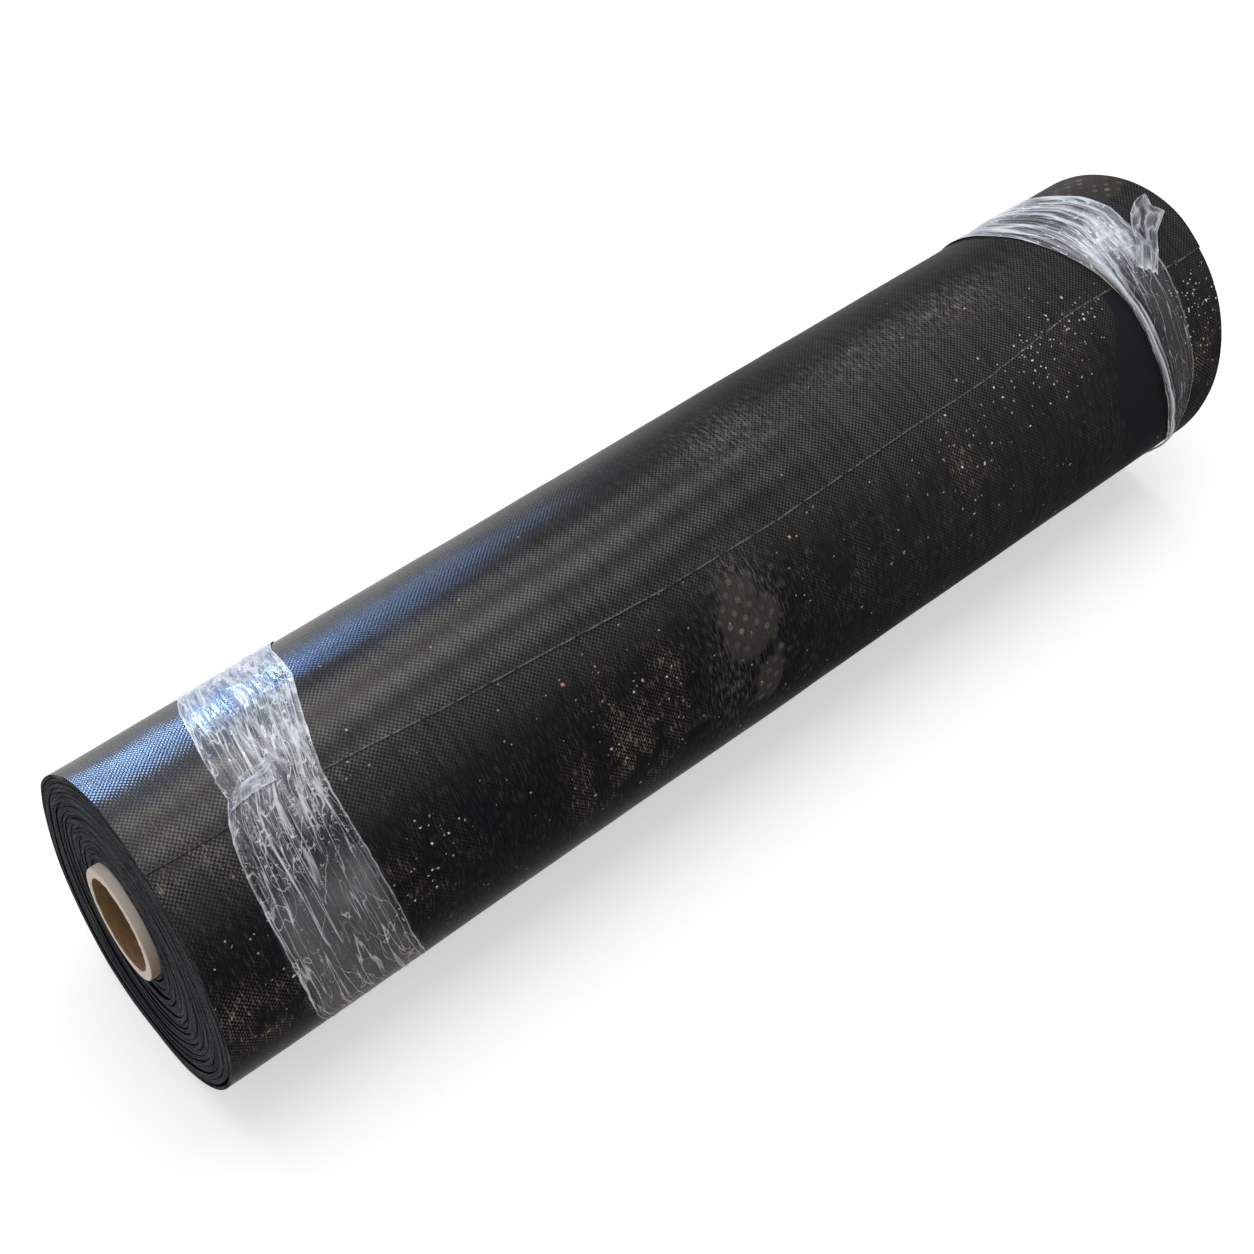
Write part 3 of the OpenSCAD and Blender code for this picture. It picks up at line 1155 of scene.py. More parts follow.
@dataclass
class WoundSheet:
    """The membrane: the turns that show on the ends, and the outer turn with its free edge, wear, dirt and
    painted highlights.
    """

    shape: RollShape
    camera: PhotoCamera
    rows_per_turn: int = 80
    outer_rows: int = 230
    outer_columns: int = 150
    tuck: float = 0.04
    wander: float = 0.5 * MM
    off_floor: float = 0.5 * MM
    turn_gap: float = 0.3 * MM
    seat: float = 0.92
    filled: float = 0.7
    reach_in: float = 20 * MM
    reach_drop: float = 3 * MM
    far_inset: float = 2 * MM
    middle_radius: float = 85 * MM
    outer_share: float = 0.9
    bunch_waves: int = 9
    bunching: float = 0.42
    wide_gap_turn: float = 17.6
    wide_gap: float = 3.0
    mist_rim: float = 7 * MM
    rope_room: float = 14 * MM
    near_mist: float = 0.26
    far_mist: float = 0.4
    # Chalk and a painted highlight on the outer turn's top, by angle
    lit_angles: tuple[float, ...] = (-60, -40, -14, -4, 14, 24, 32, 48, 60)
    lit_amounts: tuple[float, ...] = (0.06, 0.06, 0.18, 0.68, 0.74, 0.6, 0.49, 0.06, 0.0)
    gloss_angles: tuple[float, ...] = (-60, -40, -26, -16, -8, 2, 12, 28, 44, 65, 100)
    gloss_amounts: tuple[float, ...] = (0.06, 0.14, 0.6, 1.0, 0.42, 0.4, 0.4, 0.2, 0.0, 0.005, 0.02)
    flare_angles: tuple[float, ...] = (
        -180, -165, -150, -130, -110, -90, -75, -62, -45, -30, -15, 110, 135, 158, 180
    )
    flare_amounts: tuple[float, ...] = (3.5, 5, 6, 6, 5.5, 4, 3.5, 4, 2.5, 0.5, 0, 0, 1.5, 3, 3.5)
    # How the painted highlight on the top fades along the roll
    fade_places: tuple[float, ...] = (-0.45, -0.2, 0.0, 0.25, 0.45)
    fade_amounts: tuple[float, ...] = (1.06, 1.02, 0.8, 0.48, 0.24)
    clean_until: float = 0.438
    clean_edge: tuple[Pixel, ...] = ((1086, 273), (1114, 314), (1116, 359), (1118, 411), (1131, 439))
    patches: tuple[Patch, ...] = (
        Patch(Mark.DUST, (180, 860), 45 * MM, 35 * MM, 1.4),
        Patch(Mark.DUST, (250, 1020), 40 * MM, 25 * MM, 1.9),
        Patch(Mark.DUST, (390, 900), 50 * MM, 40 * MM, 0.5),
        Patch(Mark.DUST, (355, 975), 55 * MM, 40 * MM, 1.6),
        Patch(Mark.DUST, (645, 715), 45 * MM, 45 * MM, 1.8),
        Patch(Mark.DUST, (620, 775), 40 * MM, 22 * MM, 1.6),
        Patch(Mark.DUST, (965, 460), 30 * MM, 50 * MM, 0.9),
        Patch(Mark.DUST, (860, 560), 70 * MM, 40 * MM, 0.45),
        Patch(Mark.DUST, (1060, 350), 60 * MM, 35 * MM, 0.35),
        Patch(Mark.DUST, (1200, 370), 25 * MM, 40 * MM, 1.2),
        Patch(Mark.DUST, (1140, 370), 24 * MM, 60 * MM, -1.2),
        Patch(Mark.SPECKS, (1055, 340), 55 * MM, 30 * MM, 2.2),
        Patch(Mark.SPECKS, (1020, 352), 45 * MM, 12 * MM, 2.5),
        Patch(Mark.SPECKS, (1085, 318), 26 * MM, 10 * MM, 3.0),
        Patch(Mark.SPECKS, (1020, 420), 70 * MM, 40 * MM, 0.8),
        Patch(Mark.SPECKS, (970, 470), 30 * MM, 60 * MM, 0.7),
        Patch(Mark.SPECKS, (1200, 310), 26 * MM, 34 * MM, 5.0),
        Patch(Mark.SPECKS, (420, 870), 35 * MM, 22 * MM, 1.8),
        Patch(Mark.SPECKS, (650, 700), 45 * MM, 45 * MM, 0.9),
        Patch(Mark.SPECKS, (270, 950), 50 * MM, 40 * MM, 0.6),
        Patch(Mark.SPECKS, (1140, 370), 24 * MM, 60 * MM, -1.5),
        Patch(Mark.SCUFF, (725, 435), 40 * MM, 26 * MM, 0.8),
        Patch(Mark.SCUFF, (880, 345), 90 * MM, 22 * MM, 0.7),
        Patch(Mark.SCUFF, (960, 300), 40 * MM, 20 * MM, 0.6),
        Patch(Mark.SCUFF, (745, 590), 24 * MM, 34 * MM, 0.8),
        Patch(Mark.SCUFF, (735, 680), 22 * MM, 40 * MM, 0.5),
        Patch(Mark.PRINT, (750, 620), 30 * MM, 40 * MM, 1.0),
        Patch(Mark.PRINT, (775, 680), 26 * MM, 24 * MM, 0.7),
        Patch(Mark.PRINT, (1085, 190), 35 * MM, 25 * MM, 2.2),
    )

    def build(self) -> None:
        """Builds and dresses both pieces."""
        felt, cut = BitumenFelt().build(), CutFelt().build()
        self.inner_turns(felt, cut)
        self.outer_turn(felt, cut)

    def packed(self, turn: np.ndarray, angle: np.ndarray) -> np.ndarray:
        """The share of the slack that lies inside a place on the spiral, with the turns bunched unevenly.

        Args:
            turn: Turns from the core, counted along the spiral.
            angle: Angles on the roll.

        Returns:
            The share, from 0 at the core to 1 at the outer turn.
        """
        wound = self.shape.turns - 1
        steps = np.linspace(0, wound, 8 * wound + 1)
        turned = np.radians(angle)[:, None]
        uneven = np.zeros((len(angle), len(steps)))
        chance = np.random.default_rng(7)
        for _ in range(self.bunch_waves):
            rate, wave = chance.uniform(0.7, 5.0), chance.integers(0, 4)
            uneven += np.sin(rate * steps[None, :] + wave * turned + chance.uniform(0, TURN))
        loose = np.exp(self.bunching * uneven) + self.wide_gap * bell(steps[None, :], self.wide_gap_turn, 0.3)
        inside = np.cumsum(loose, axis=1)
        inside = (inside - inside[:, :1]) / (inside[:, -1:] - inside[:, :1])
        share = np.clip(turn / steps[-1], 0, 1) * (len(steps) - 1)
        low = np.minimum(share.astype(int), len(steps) - 2)
        rows = np.arange(len(turn))
        part = share - low
        return inside[rows, low] * (1 - part) + inside[rows, low + 1] * part

    def near_place(self, turn: np.ndarray, angle: np.ndarray, radius: np.ndarray) -> np.ndarray:
        """Where the sheet's near edge is: the outer turns set back and flared, each a little in or out.

        Args:
            turn: Turns from the core, counted along the spiral.
            angle: Angles on the roll.
            radius: Distances from the roll's axis.

        Returns:
            Places along X.
        """
        slid = self.shape.telescope * (0.6 * (turn / self.shape.turns) ** 3 + 0.4 * turn / self.shape.turns)
        own = self.wander * (np.sin(2.4 * turn) + 0.6 * np.sin(5.3 * turn + 1) + 0.35 * np.sin(17 * turn))
        flare = MM * np.interp(wrap(angle), self.flare_angles, self.flare_amounts) * ramp(turn, 6, 19)
        return -self.shape.half_length + slid + own - flare + self.shape.end_lean(angle, radius)

    def inner_turns(self, felt: bpy.types.Material, cut: bpy.types.Material) -> None:
        """Winds all the turns but the last, each a sheet with its two cut edges, close to the turn inside it.

        Each row of the grid is a loop round the sheet, cut short where it is out of sight: the inner face,
        the cut and the outer face at the near end, and then the outer face, the cut and the inner face at
        the far end.

        Args:
            felt: The finish of the sheet.
            cut: The finish of its cut edges.
        """
        shape = self.shape
        wound, columns = shape.turns - 1, 7
        mesh = Mesh.grid("wound_turns", wound * self.rows_per_turn, columns)
        turn = mesh.v * wound
        column = np.round(mesh.u * columns)
        near_side, inner_face = column < 4, (column < 2) | (column > 5)
        deep = (column == 0) | (column == 3) | (column == 4) | (column == columns)
        near_edge, far_edge = shape.free_edge(np.array([-shape.half_length, shape.half_length]))
        edge = np.where(near_side, near_edge, far_edge)
        angle = edge + TURN * turn
        whole = np.minimum(np.floor(turn + 1e-9), wound - 1)
        packed = self.packed(turn, angle)
        loose = shape.slack(angle) * (packed - self.packed(np.maximum(turn - 1, 0), angle))
        radius = shape.core_surface(angle) + shape.lap(angle - edge) + shape.sheet * (whole + self.seat)
        radius = radius + shape.slack(angle) * packed
        near = self.near_place(turn, angle, radius)
        far = shape.far_end(angle, radius) - self.far_inset + 0.5 * self.wander * np.sin(2.1 * turn)
        thick = shape.sheet - self.turn_gap + self.filled * loose
        radius = radius - np.where(inner_face, thick, 0) - np.where(deep & ~inner_face, self.reach_drop, 0)
        inwards = np.where(deep, self.reach_in, 0)
        x = np.where(near_side, near + inwards, far - inwards)
        mesh.write(shape.points(x, angle, radius, self.off_floor))
        mesh.lay_out(x + radius, turn * math.tau * self.middle_radius)
        mesh.mark({mark: np.zeros(len(x)) for mark in Mark})
        mesh.face_outwards()
        mesh.dress(felt, cut)
        mesh.paint((column > 0) & (column < columns))
        mesh.finish("membrane", Slot.SHEET)

    def outer_turn(self, felt: bpy.types.Material, cut: bpy.types.Material) -> None:
        """Winds the last turn, which covers the roll and ends in the free edge.

        Args:
            felt: The finish of the sheet.
            cut: The finish of its cut edges.
        """
        shape = self.shape
        mesh = Mesh.grid("outer_turn", self.outer_rows, self.outer_columns)
        share = mesh.v * (1 + self.tuck) - self.tuck
        x = (mesh.u * 2 - 1) * shape.half_length
        ragged = SmoothNoise(3).at(x / (9 * MM), x * 0) - 0.5
        angle = shape.free_edge(x) + TURN * share + 0.2 * ragged * ramp(share, 0.97, 1.0)
        lap = np.where(share < 0, -shape.sheet / 2, shape.lap(np.where(share >= 1, -0.01, TURN * share)))
        radius = shape.radius + lap + shape.dents(x, angle)
        near = self.near_place(shape.turns - 1 + share, angle, radius)
        far = shape.far_end(angle, radius)
        x = near + mesh.u * (far - near)
        mesh.write(shape.points(x, angle, radius, self.off_floor))
        mesh.lay_out(x, np.radians(angle) * shape.radius)
        mesh.mark(self.marks(x, angle, share))
        mesh.face_outwards()
        mesh.dress(felt, cut)
        thick = self.outer_share * shape.sheet
        mesh.modify("SOLIDIFY", thickness=thick, offset=-1.0, material_offset_rim=1)
        mesh.finish("membrane", Slot.SHEET)

    def mist(self, x: np.ndarray, angle: np.ndarray) -> np.ndarray:
        """How misty the sheet is under the bands: most low on the near one, some beside the far one's rope.

        Args:
            x: Places along X.
            angle: Angles on the roll, from -180 to 180.

        Returns:
            The mist at each place.
        """
        bands = (
            (NEAR_LEFT.at(angle), NEAR_RIGHT.at(angle)),
            (FAR_LEFT.at(angle) + self.rope_room, FAR_RIGHT.at(angle)),
        )
        near, far = (np.clip(np.minimum(x - left, right - x) / self.mist_rim, 0, 1) for left, right in bands)
        near = near * (self.near_mist + (1 - self.near_mist) * ramp(angle, 40, 62))
        return near + far * self.far_mist * ramp(angle, 8, 30)

    def marks(self, x: np.ndarray, angle: np.ndarray, share: np.ndarray) -> dict[Mark, np.ndarray]:
        """The marks on the outer turn: what it has all over, and its patches.

        Args:
            x: Places along X.
            angle: Angles on the roll.
            share: How far round the last turn each place is.

        Returns:
            Each mark's strength at each place.
        """
        turned = wrap(angle)
        # The top's grey is chalk and a painted highlight, which fades towards the far end
        fading = np.interp(x, self.fade_places, self.fade_amounts)
        lit = fading * np.interp(turned, self.lit_angles, self.lit_amounts)
        glossy = np.interp(turned, self.gloss_angles, self.gloss_amounts)
        pixels = [self.camera.on_roll(pixel, self.shape) for pixel in self.clean_edge]
        edge_x, edge_angle = np.array(pixels).T
        past_edge = np.minimum(x - np.interp(turned, edge_angle, edge_x), self.clean_until - x) / (40 * MM)
        marks = {
            # Chalk, with a painted highlight on the top that is brighter along the ripples' crests
            Mark.BLOOM: 0.03 + 0.23 * ramp(x, -0.05, 0.2) + lit * (1 + 0.5 * self.shape.ripples(x, angle)),
            Mark.DUST: 0.03 + 0.1 * ramp(share, 0.6, 0.1),
            Mark.SPECKS: 0.03 + 0.14 * ramp(share, 0.5, 0.1),
            Mark.SCUFF: np.full(len(x), 0.08),
            Mark.PRINT: np.zeros(len(x)),
            Mark.EDGE: ramp(share, 0.994, 1.0) * (0.75 + 0.25 * ramp(x, -0.42, -0.3)),
            Mark.GLOSS: glossy * (1 - 0.97 * ramp(x, -0.4, 0.12)),
            Mark.CLEAN: np.where(share < 0.5, np.clip(0.5 + past_edge * ramp(turned, 12, 20), 0, 1), 0.0),
            Mark.MIST: self.mist(x, turned),
        }
        for patch in self.patches:
            marks[patch.mark] = marks[patch.mark] + patch.cover(self.camera, self.shape, x, angle)
        return marks


@dataclass
class Core:
    """The cardboard tube: bevelled rims, a near end that isn't quite square, and frayed paper in its rim."""

    shape: RollShape
    bore: float = 35.0 * MM
    wall: float = 8.0 * MM
    half_length: float = 508.0 * MM
    near_inset: float = 2.0 * MM
    rim_bevel: float = 0.9 * MM
    sides: int = 160
    fray: float = 0.4 * MM
    frayed_ring: float = 2.5 * MM
    frayed_from: float = 490 * MM
    leaning_from: float = 495 * MM

    def build(self) -> None:
        """Builds and dresses the tube."""
        height = self.shape.axis_height + self.shape.core_rise
        mesh = Mesh.pipe("cardboard_core", self.sides, self.bore + self.wall, 2 * self.half_length, height)
        for place in (-self.shape.half_length, self.shape.half_length):
            mesh.cut(place)
        mesh.modify("SOLIDIFY", thickness=self.wall, offset=-1.0, use_even_offset=True)
        mesh.modify("BEVEL", width=self.rim_bevel, segments=3, limit_method="ANGLE")
        self.wear(mesh)
        mesh.dress(KraftBoard(height, self.bore, self.bore + self.wall).build())
        mesh.finish("core", Slot.CARDBOARD)

    def wear(self, mesh: Mesh) -> None:
        """Leans the near end, and frays the paper round its bore.

        Args:
            mesh: The tube's mesh.
        """
        points = mesh.read()
        up = points[:, 2] - self.shape.axis_height - self.shape.core_rise
        angle = np.degrees(np.arctan2(-points[:, 1], up))
        radius = np.hypot(points[:, 1], up)
        at_near = points[:, 0] < -self.leaning_from
        lean = self.shape.end_lean(angle, radius) + self.near_inset
        points[:, 0] += np.where(at_near, lean, 0)
        rough = SmoothNoise(21, (90, 0)).at(angle / 5, radius / (3 * MM))
        torn = np.where(at_near & (radius < self.bore + self.frayed_ring), 1.0, 0.25) * (rough - 0.4)
        outwards = self.fray * torn * np.sign(points[:, 0])
        points[:, 0] += np.where(np.abs(points[:, 0]) > self.frayed_from, outwards, 0)
        mesh.write(points)


@dataclass
class FilmBand:
    """One band of film round the roll: an open strip that overlaps itself underneath, with its creases."""

    shape: RollShape
    name: str
    node: str
    left: FilmEdge
    right: FilmEdge
    flat: tuple[float, float]
    held: str
    seed: int
    start: float = -205.0
    sweep: float = 372.0
    rows: int = 640
    columns: int = 90
    lift: float = 0.6 * MM
    off_floor: float = 0.15 * MM
    raggedness: float = 0.7 * MM
    tucked: float = 0.35 * MM
    raised: float = 0.25 * MM
    cut_area: float | None = None

    def build(self, finish: bpy.types.Material) -> None:
        """Args:
            finish: The film.
        """
        mesh = Mesh.grid(self.name, self.rows, self.columns)
        angle = self.start + self.sweep * mesh.v
        across = self.gather(mesh.u, angle)
        left, right = self.left.at(angle), self.right.at(angle)
        ragged = self.raggedness * (SmoothNoise(self.seed + 9, (90, 0)).at(angle / 3, mesh.u * 3) - 0.5)
        x = left + across * (right - left) + ragged * (np.abs(mesh.u - 0.5) * 2) ** 6
        arc = np.radians(angle) * self.shape.radius
        height, marks = self.creases(x, arc, angle, mesh.u)
        lapped = self.tucked * ramp(mesh.v, 0.02, 0.0) - self.raised * ramp(mesh.v, 0.96, 1.0)
        radius = self.shape.film_surface(x, angle) + self.lift + height - lapped
        mesh.write(self.shape.points(x, angle, radius, self.off_floor))
        mesh.lay_out(mesh.u * self.flat[0], arc)
        mesh.mark(marks)
        mesh.face_outwards()
        mesh.dress(finish)
        made = mesh.finish(self.node, Slot.FILM)

    def gather(self, u: np.ndarray, angle: np.ndarray) -> np.ndarray:
        """How far across the band each column lies. An even band isn't gathered."""
        return u

    def creases(
        self, x: np.ndarray, arc: np.ndarray, angle: np.ndarray, u: np.ndarray
    ) -> tuple[np.ndarray, dict[FilmMark, np.ndarray]]:
        """The band's creases and dirt.

        Args:
            x: Places along X.
            arc: Places round the roll.
            angle: Angles on the roll.
            u: Share of the way across the film.

        Returns:
            Heights above the roll, and the marks that the finish reads.
        """
        raise NotImplementedError


@dataclass
class NearBand(FilmBand):
    """The wide, slanted band near the near end: creased and milky above, with painted reflection streaks on
    top, torn at the front, hazy below.
    """

    def creases(
        self, x: np.ndarray, arc: np.ndarray, angle: np.ndarray, u: np.ndarray
    ) -> tuple[np.ndarray, dict[FilmMark, np.ndarray]]:
        """The band's creases and dirt: lines with the pull, crinkles where it was torn, and painted
        reflection streaks on its top.

        Args:
            x: Places along X.
            arc: Places round the roll.
            angle: Angles on the roll.
            u: Share of the way across the film.

        Returns:
            Heights above the roll, and the marks that the finish reads.
        """
        noise = [SmoothNoise(self.seed + i, (90, 90)) for i in range(5)]
        warped = x + 7 * MM * (noise[0].at(x / (30 * MM), arc / (50 * MM)) - 0.5)
        long_lines = noise[1].ridges(warped / (11 * MM), arc / (95 * MM), 14)
        fine_lines = noise[2].ridges(warped / (4.5 * MM), arc / (45 * MM), 9)
        crinkle = noise[3].ridges(x / (4 * MM), arc / (7 * MM), 3)
        streaks = noise[4].ridges(warped / (5 * MM), arc / (38 * MM), 5)
        above = ramp(angle, 30, -5)
        below = ramp(angle, 38, 62)
        column = bell(u, 0.82, 0.17) * ramp(angle, 46, 26) * ramp(angle, -45, -22)
        torn = bell(angle, 30, 19)
        upper = ramp(angle, 40, 24) + 0.5 * bell(angle, 40, 8) * bell(u, 0.3, 0.25)
        upper = upper * (1 - 0.8 * bell(u, 0.12, 0.22) * bell(angle, 8, 12))
        edge = ramp(np.abs(u - 0.5), 0.475, 0.5)
        crumpled = np.clip(column + 0.5 * torn * bell(u, 0.55, 0.3), 0, 1)
        height = MM * (0.6 * long_lines + 0.35 * fine_lines * (0.3 + above) + 0.9 * crumpled * crinkle)
        # Milk along the creases and crumples; on the upper part, and most on the top, the veil is also
        # painted reflection streaks
        veil = 0.02 + 0.2 * column * crinkle + upper * (0.1 + 0.35 * fine_lines + 0.42 * streaks)
        veil = veil + ramp(angle, -2, -22) * (0.06 + 0.1 * fine_lines) + 0.45 * edge
        grime = 0.8 * ramp(angle, 84, 112) + 0.3 * ramp(angle, 40, 80) + 0.25 * torn
        marks = {
            FilmMark.VEIL_AND_PAINTED_REFLECTION: veil,
            FilmMark.CREASED: 0.5 + 0.25 * below + 0.3 * column + 0.9 * upper,
            FilmMark.SCRAWL: 1.3 * torn + 0.7 * column + 0.5 * upper,
            FilmMark.GRIME: np.clip(grime, 0, 1),
            FilmMark.DULL: ramp(angle, 26, 50),
        }
        return height, marks


@dataclass
class FarBand(FilmBand):
    """The band near the far end: streaky on top, crumpled where it was torn, gathered into a rope below."""

    rope: float = 12 * MM
    rope_share: float = 0.55

    def gathered(self, angle: np.ndarray) -> np.ndarray:
        """How far the band is drawn into its rope at each angle."""
        return ramp(angle, -5, 38) * ramp(angle, 210, 150)

    def gather(self, u: np.ndarray, angle: np.ndarray) -> np.ndarray:
        """How far across the band each column lies: the first half is drawn into the rope.

        Args:
            u: Share of the way across the film.
            angle: Angles on the roll.

        Returns:
            Share of the way across the band.
        """
        rope = self.rope / np.maximum(self.right.at(angle) - self.left.at(angle), self.rope)
        past_rope = (u - self.rope_share) / (1 - self.rope_share)
        drawn = np.where(u < self.rope_share, u / self.rope_share * rope, rope + past_rope * (1 - rope))
        return u + (drawn - u) * self.gathered(angle)

    def creases(
        self, x: np.ndarray, arc: np.ndarray, angle: np.ndarray, u: np.ndarray
    ) -> tuple[np.ndarray, dict[FilmMark, np.ndarray]]:
        """The band's creases and dirt: streaks on top, crinkles where it was torn, and the rope's pleats.

        Args:
            x: Places along X.
            arc: Places round the roll.
            angle: Angles on the roll.
            u: Share of the way across the film.

        Returns:
            Heights above the roll, and the marks that the finish reads.
        """
        noise = [SmoothNoise(self.seed + i, (90, 90)) for i in range(4)]
        drawn = self.gathered(angle)
        roped = ramp(u, 0.58, 0.52)
        warped = u + 0.05 * (noise[0].at(u * 4, arc / (50 * MM)) - 0.5)
        streaks = noise[1].ridges(warped * 15, arc / (110 * MM), 6)
        fine = noise[2].ridges(warped * 34, arc / (60 * MM), 5)
        crinkle = noise[3].ridges(x / (5 * MM), arc / (6 * MM), 3)
        torn = bell(angle, 12, 13) * bell(u, 0.62, 0.3)
        pleats = np.abs(np.cos(math.pi * 3.2 * u + 0.35 * np.sin(arc / (50 * MM))))
        edge = ramp(np.abs(u - 0.5), 0.475, 0.5)
        rope = drawn * roped
        clear = drawn * (1 - roped)
        tight = 1 - 0.75 * ramp(angle, 75, 105)
        height = 0.9 * streaks + 0.4 * fine + 2.8 * torn * crinkle + (0.8 + 3.2 * pleats) * rope * tight
        height = MM * height * (1 - 0.55 * clear)
        veil = 0.05 + 0.95 * streaks + 0.45 * fine + 1.2 * torn * (0.4 + 0.6 * crinkle)
        veil = veil * (1 - 0.97 * clear) * (1 - rope) + rope * (0.15 + 0.75 * pleats**2) + 0.45 * edge
        grime = rope * (0.7 * ramp(pleats, 0.5, 0.1) + ramp(u, 0.1, 0.0)) + 0.25 * ramp(angle, 20, 100)
        marks = {
            FilmMark.VEIL_AND_PAINTED_REFLECTION: veil,
            FilmMark.CREASED: 1.0 - 0.5 * clear,
            FilmMark.SCRAWL: 0.7 * torn,
            FilmMark.GRIME: np.clip(grime, 0, 1),
            FilmMark.DULL: ramp(angle, 10, 35),
        }
        return height, marks


@dataclass
class FilmScrap:
    """A torn tongue of film that stands off its band, laid out between two lines of the photograph."""

    shape: RollShape
    camera: PhotoCamera
    name: str
    first: tuple[Pixel, ...]
    second: tuple[Pixel, ...]
    lifts: tuple[float, ...]
    flat: tuple[float, float]
    veil: float
    seed: int
    rests_on: str
    rows: int = 60
    columns: int = 30
    crumple: float = 1.6 * MM

    def side(self, pixels: tuple[Pixel, ...], share: np.ndarray) -> np.ndarray:
        """Points along one side of the scrap.

        Args:
            pixels: The side's line in the photograph.
            share: Share of the way along it.

        Returns:
            Points, one row for each share.
        """
        knots = []
        for pixel, lift in zip(pixels, self.lifts):
            x, angle = self.camera.on_roll(pixel, self.shape, lift)
            knots.append(self.shape.points(np.array(x), np.array(angle), np.array(self.shape.radius + lift)))
        steps = np.linspace(0, 1, len(knots))
        return np.stack([np.interp(share, steps, [k[i] for k in knots]) for i in range(3)], axis=-1)

    def build(self, finish: bpy.types.Material) -> None:
        """Args:
            finish: The film.
        """
        mesh = Mesh.grid(self.name, self.rows, self.columns)
        ragged = 0.06 * (SmoothNoise(self.seed, (30, 30)).at(mesh.u * 9, mesh.v * 3) - 0.5)
        share = np.clip(mesh.v + ragged, 0, 1)
        one, two = self.side(self.first, share), self.side(self.second, share)
        points = one + (two - one) * mesh.u[:, None]
        folds = SmoothNoise(self.seed, (30, 60)).ridges(mesh.u * 5, mesh.v * 6, 3)
        away = (points - np.array([0, 0, self.shape.axis_height])) * np.array([0, 1, 1])
        away = away / np.linalg.norm(away, axis=1)[:, None]
        points = points + away * (self.crumple * folds * ramp(mesh.v, 0.0, 0.2))[:, None]
        mesh.write(points)
        mesh.lay_out(mesh.u * self.flat[0], mesh.v * self.flat[1])
        edge = ramp(np.maximum(np.abs(mesh.u - 0.5), np.abs(mesh.v - 0.5)), 0.45, 0.5)
        marks = {
            FilmMark.VEIL_AND_PAINTED_REFLECTION: self.veil * (0.3 + 1.1 * folds) + 0.6 * edge,
            FilmMark.CREASED: np.full(len(folds), 0.4),
            FilmMark.SCRAWL: np.zeros(len(folds)),
            FilmMark.GRIME: 0.12 * folds,
            FilmMark.DULL: np.full(len(folds), 0.6),
        }
        mesh.mark(marks)
        mesh.face_outwards()
        mesh.dress(finish)
        made = mesh.finish(None, Slot.FILM)


@dataclass
class FilmWrap:
    """Both bands of film and the torn scraps on them."""

    shape: RollShape
    camera: PhotoCamera

    def build(self) -> None:
        """Builds and dresses the film."""
        finish = StretchFilm().build()
        NearBand(
            shape=self.shape,
            name="near_film",
            node="near_film_band",
            left=NEAR_LEFT,
            right=NEAR_RIGHT,
            flat=(0.085, 0.79),
            held="stretched",
            seed=31,
        ).build(finish)
        FarBand(
            shape=self.shape,
            name="far_film",
            node="far_film_band",
            left=FAR_LEFT,
            right=FAR_RIGHT,
            flat=(0.09, 0.8),
            cut_area=0.052,
            held="gathered",
            seed=51,
        ).build(finish)
        FilmScrap(
            self.shape,
            self.camera,
            name="near_film_fold",
            first=((274, 747), (262, 763), (248, 770), (239, 778), (232, 795), (228, 812)),
            second=((276, 780), (264, 787), (252, 794), (240, 803), (231, 812), (228, 822)),
            lifts=(1.2 * MM, 3 * MM, 3.5 * MM, 3.5 * MM, 2.5 * MM, 1.2 * MM),
            flat=(0.018, 0.05),
            veil=0.5,
            seed=71,
            rests_on="near_film",
        ).build(finish)
        FilmScrap(
            self.shape,
            self.camera,
            name="far_film_flap",
            first=((1136, 266), (1136, 243), (1132, 229), (1130, 214), (1134, 202), (1143, 194)),
            second=((1158, 275), (1158, 254), (1157, 232), (1164, 212), (1152, 206), (1146, 195)),
            lifts=(1.5 * MM, 5 * MM, 9 * MM, 13 * MM, 15 * MM, 16 * MM),
            flat=(0.025, 0.085),
            veil=0.42,
            seed=72,
            rests_on="far_film",
        ).build(finish)


@dataclass(frozen=True)
class SoftLight:
    """One soft lamp of the studio, with its first side along X. It may show only as a reflection."""

    name: str
    place: tuple[float, float, float]
    towards: tuple[float, float, float]
    size: tuple[float, float]
    power: float
    colour: str
    only_mirrored: bool = False

    def build(self) -> None:
        """Makes the lamp."""
        data = bpy.data.lights.new(self.name, "AREA")
        data.shape = "RECTANGLE"
        data.size, data.size_y = self.size
        data.energy = self.power
        data.color = linear(self.colour)[:3]
        lamp = bpy.data.objects.new(self.name, data)
        back = (Vector(self.place) - Vector(self.towards)).normalized()
        across = (Vector((1, 0, 0)) - back * back.x).normalized()
        turned = Matrix((across, back.cross(across), back)).transposed().to_4x4()
        lamp.matrix_world = Matrix.Translation(self.place) @ turned
        lamp.visible_diffuse = not self.only_mirrored
        bpy.context.scene.collection.objects.link(lamp)


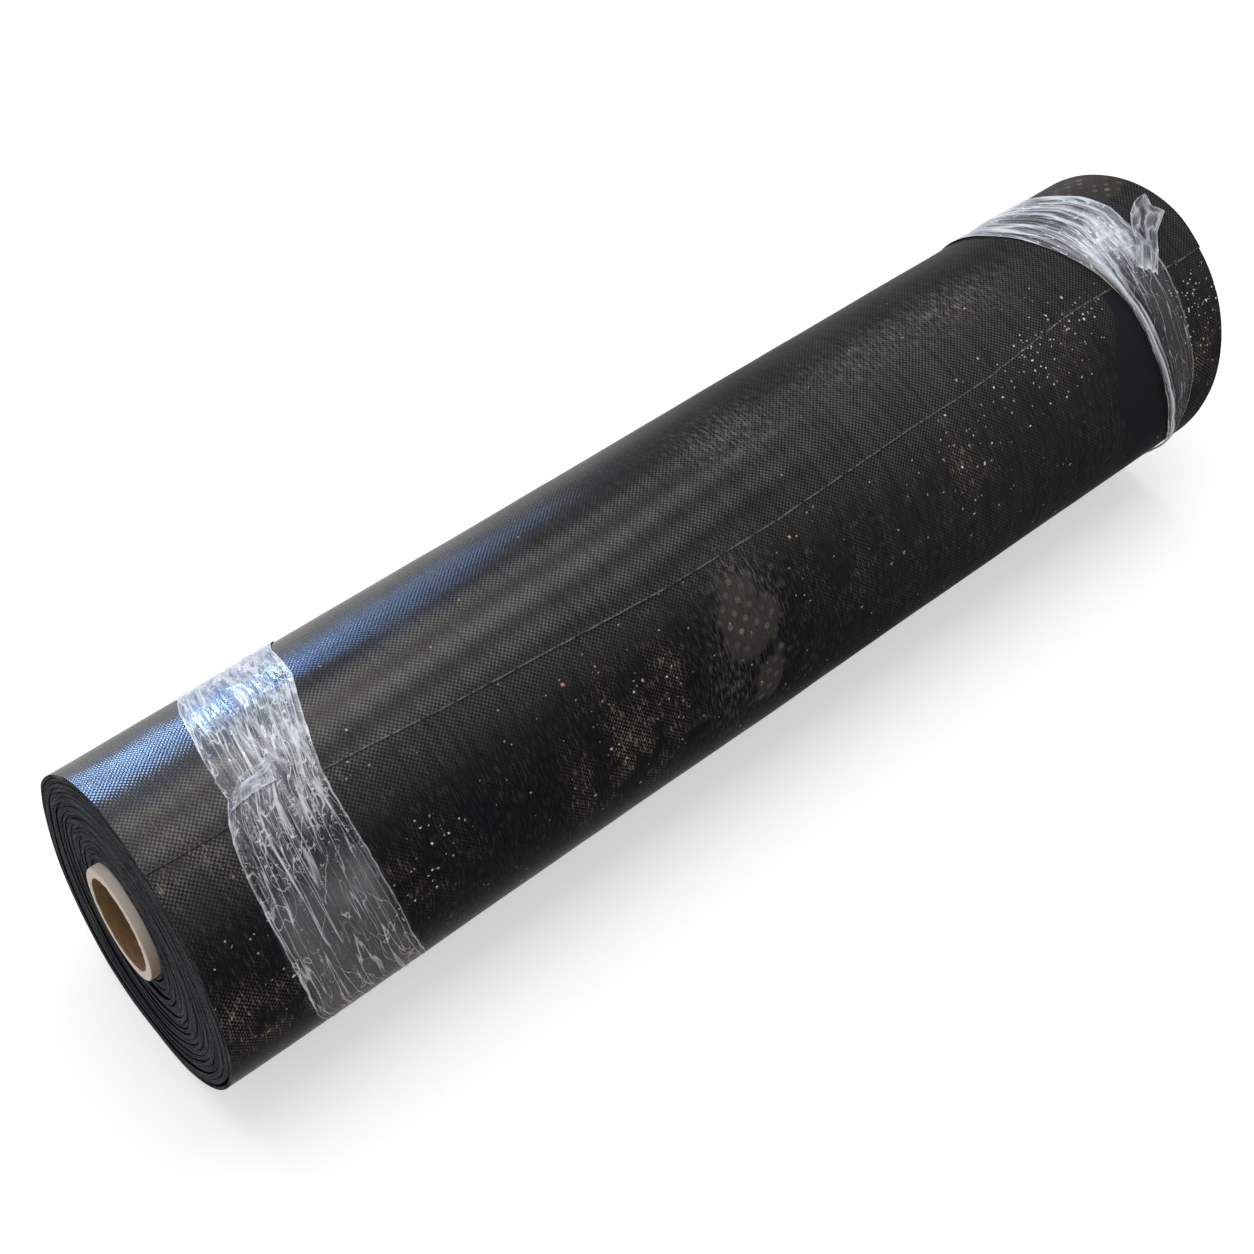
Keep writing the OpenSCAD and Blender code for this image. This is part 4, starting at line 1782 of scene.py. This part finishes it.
@dataclass
class Studio:
    """A plain white floor, soft lamps and a pale sky."""

    floor_size: float = 30.0
    floor_colour: str = "#e6e6e6"
    floor_glow: float = 0.52
    sky: float = 0.4
    lamps: tuple[SoftLight, ...] = (
        SoftLight("overhead", (0.2, 0.5, 2.6), (0, 0, 0), (2.6, 2.6), 42, "#fffdfa"),
        SoftLight("strip", (0.3, 0.75, 1.9), (0.1, 0, 0.2), (1.7, 0.12), 10, "#fff4e4", True),
        SoftLight("blue_sky", (-0.4, 1.0, 0.5), (-0.47, 0, 0.2), (0.46, 0.2), 16, "#9cc5ff", True),
        SoftLight("blue_sky_far", (0.06, 1.0, 0.5), (-0.15, 0, 0.2), (0.36, 0.2), 3, "#7cb0ff", True),
        SoftLight("left_sky", (-1.7, -0.3, 0.8), (-0.5, 0, 0.1), (0.8, 0.8), 2, "#dfeaff"),
    )

    def build(self) -> None:
        """Builds the floor, the lamps and the sky."""
        bpy.context.scene.view_settings.view_transform = "Standard"
        bpy.ops.object.select_all(action="DESELECT")
        bpy.ops.mesh.primitive_plane_add(size=self.floor_size)
        floor = bpy.context.object
        floor.name = "floor"
        floor.data.materials.append(self.floor_finish())
        for lamp in self.lamps:
            lamp.build()
        world = bpy.data.worlds.new("pale_sky")
        bpy.context.scene.world = world
        world.use_nodes = True
        tree = world.node_tree
        tree.nodes.clear()
        white = add_node(tree, "ShaderNodeBackground", {"Color": linear("#ffffff"), "Strength": self.sky})
        add_node(tree, "ShaderNodeOutputWorld", {0: white})

    def floor_finish(self) -> bpy.types.Material:
        """Matte white card, which glows a little so that it is white where no shadow falls.

        Returns:
            The material.
        """
        material, tree = new_material("white_card")
        path = add_node(tree, "ShaderNodeLightPath").outputs
        mirrored = add_node(
            tree,
            "ShaderNodeMath",
            {0: path["Is Glossy Ray"], 1: path["Is Transmission Ray"]},
            operation="MAXIMUM",
        )
        seen = add_node(tree, "ShaderNodeMath", {0: path["Is Camera Ray"], 1: mirrored}, operation="MAXIMUM")
        strength = add_node(tree, "ShaderNodeMath", {0: seen, 1: self.floor_glow}, operation="MULTIPLY")
        card = add_node(tree, "ShaderNodeBsdfDiffuse", {"Color": linear(self.floor_colour)})
        glow = add_node(tree, "ShaderNodeEmission", {"Strength": strength})
        both = add_node(tree, "ShaderNodeAddShader", {0: card, 1: glow})
        add_node(tree, "ShaderNodeOutputMaterial", {0: both})
        return material


def main() -> None:
    """Builds the roll and its studio."""
    logging.basicConfig(level=logging.INFO)
    camera, shape = PhotoCamera(), RollShape()
    camera.build()
    Studio().build()
    WoundSheet(shape, camera).build()
    Core(shape).build()
    FilmWrap(shape, camera).build()


if __name__ == "__main__":
    main()
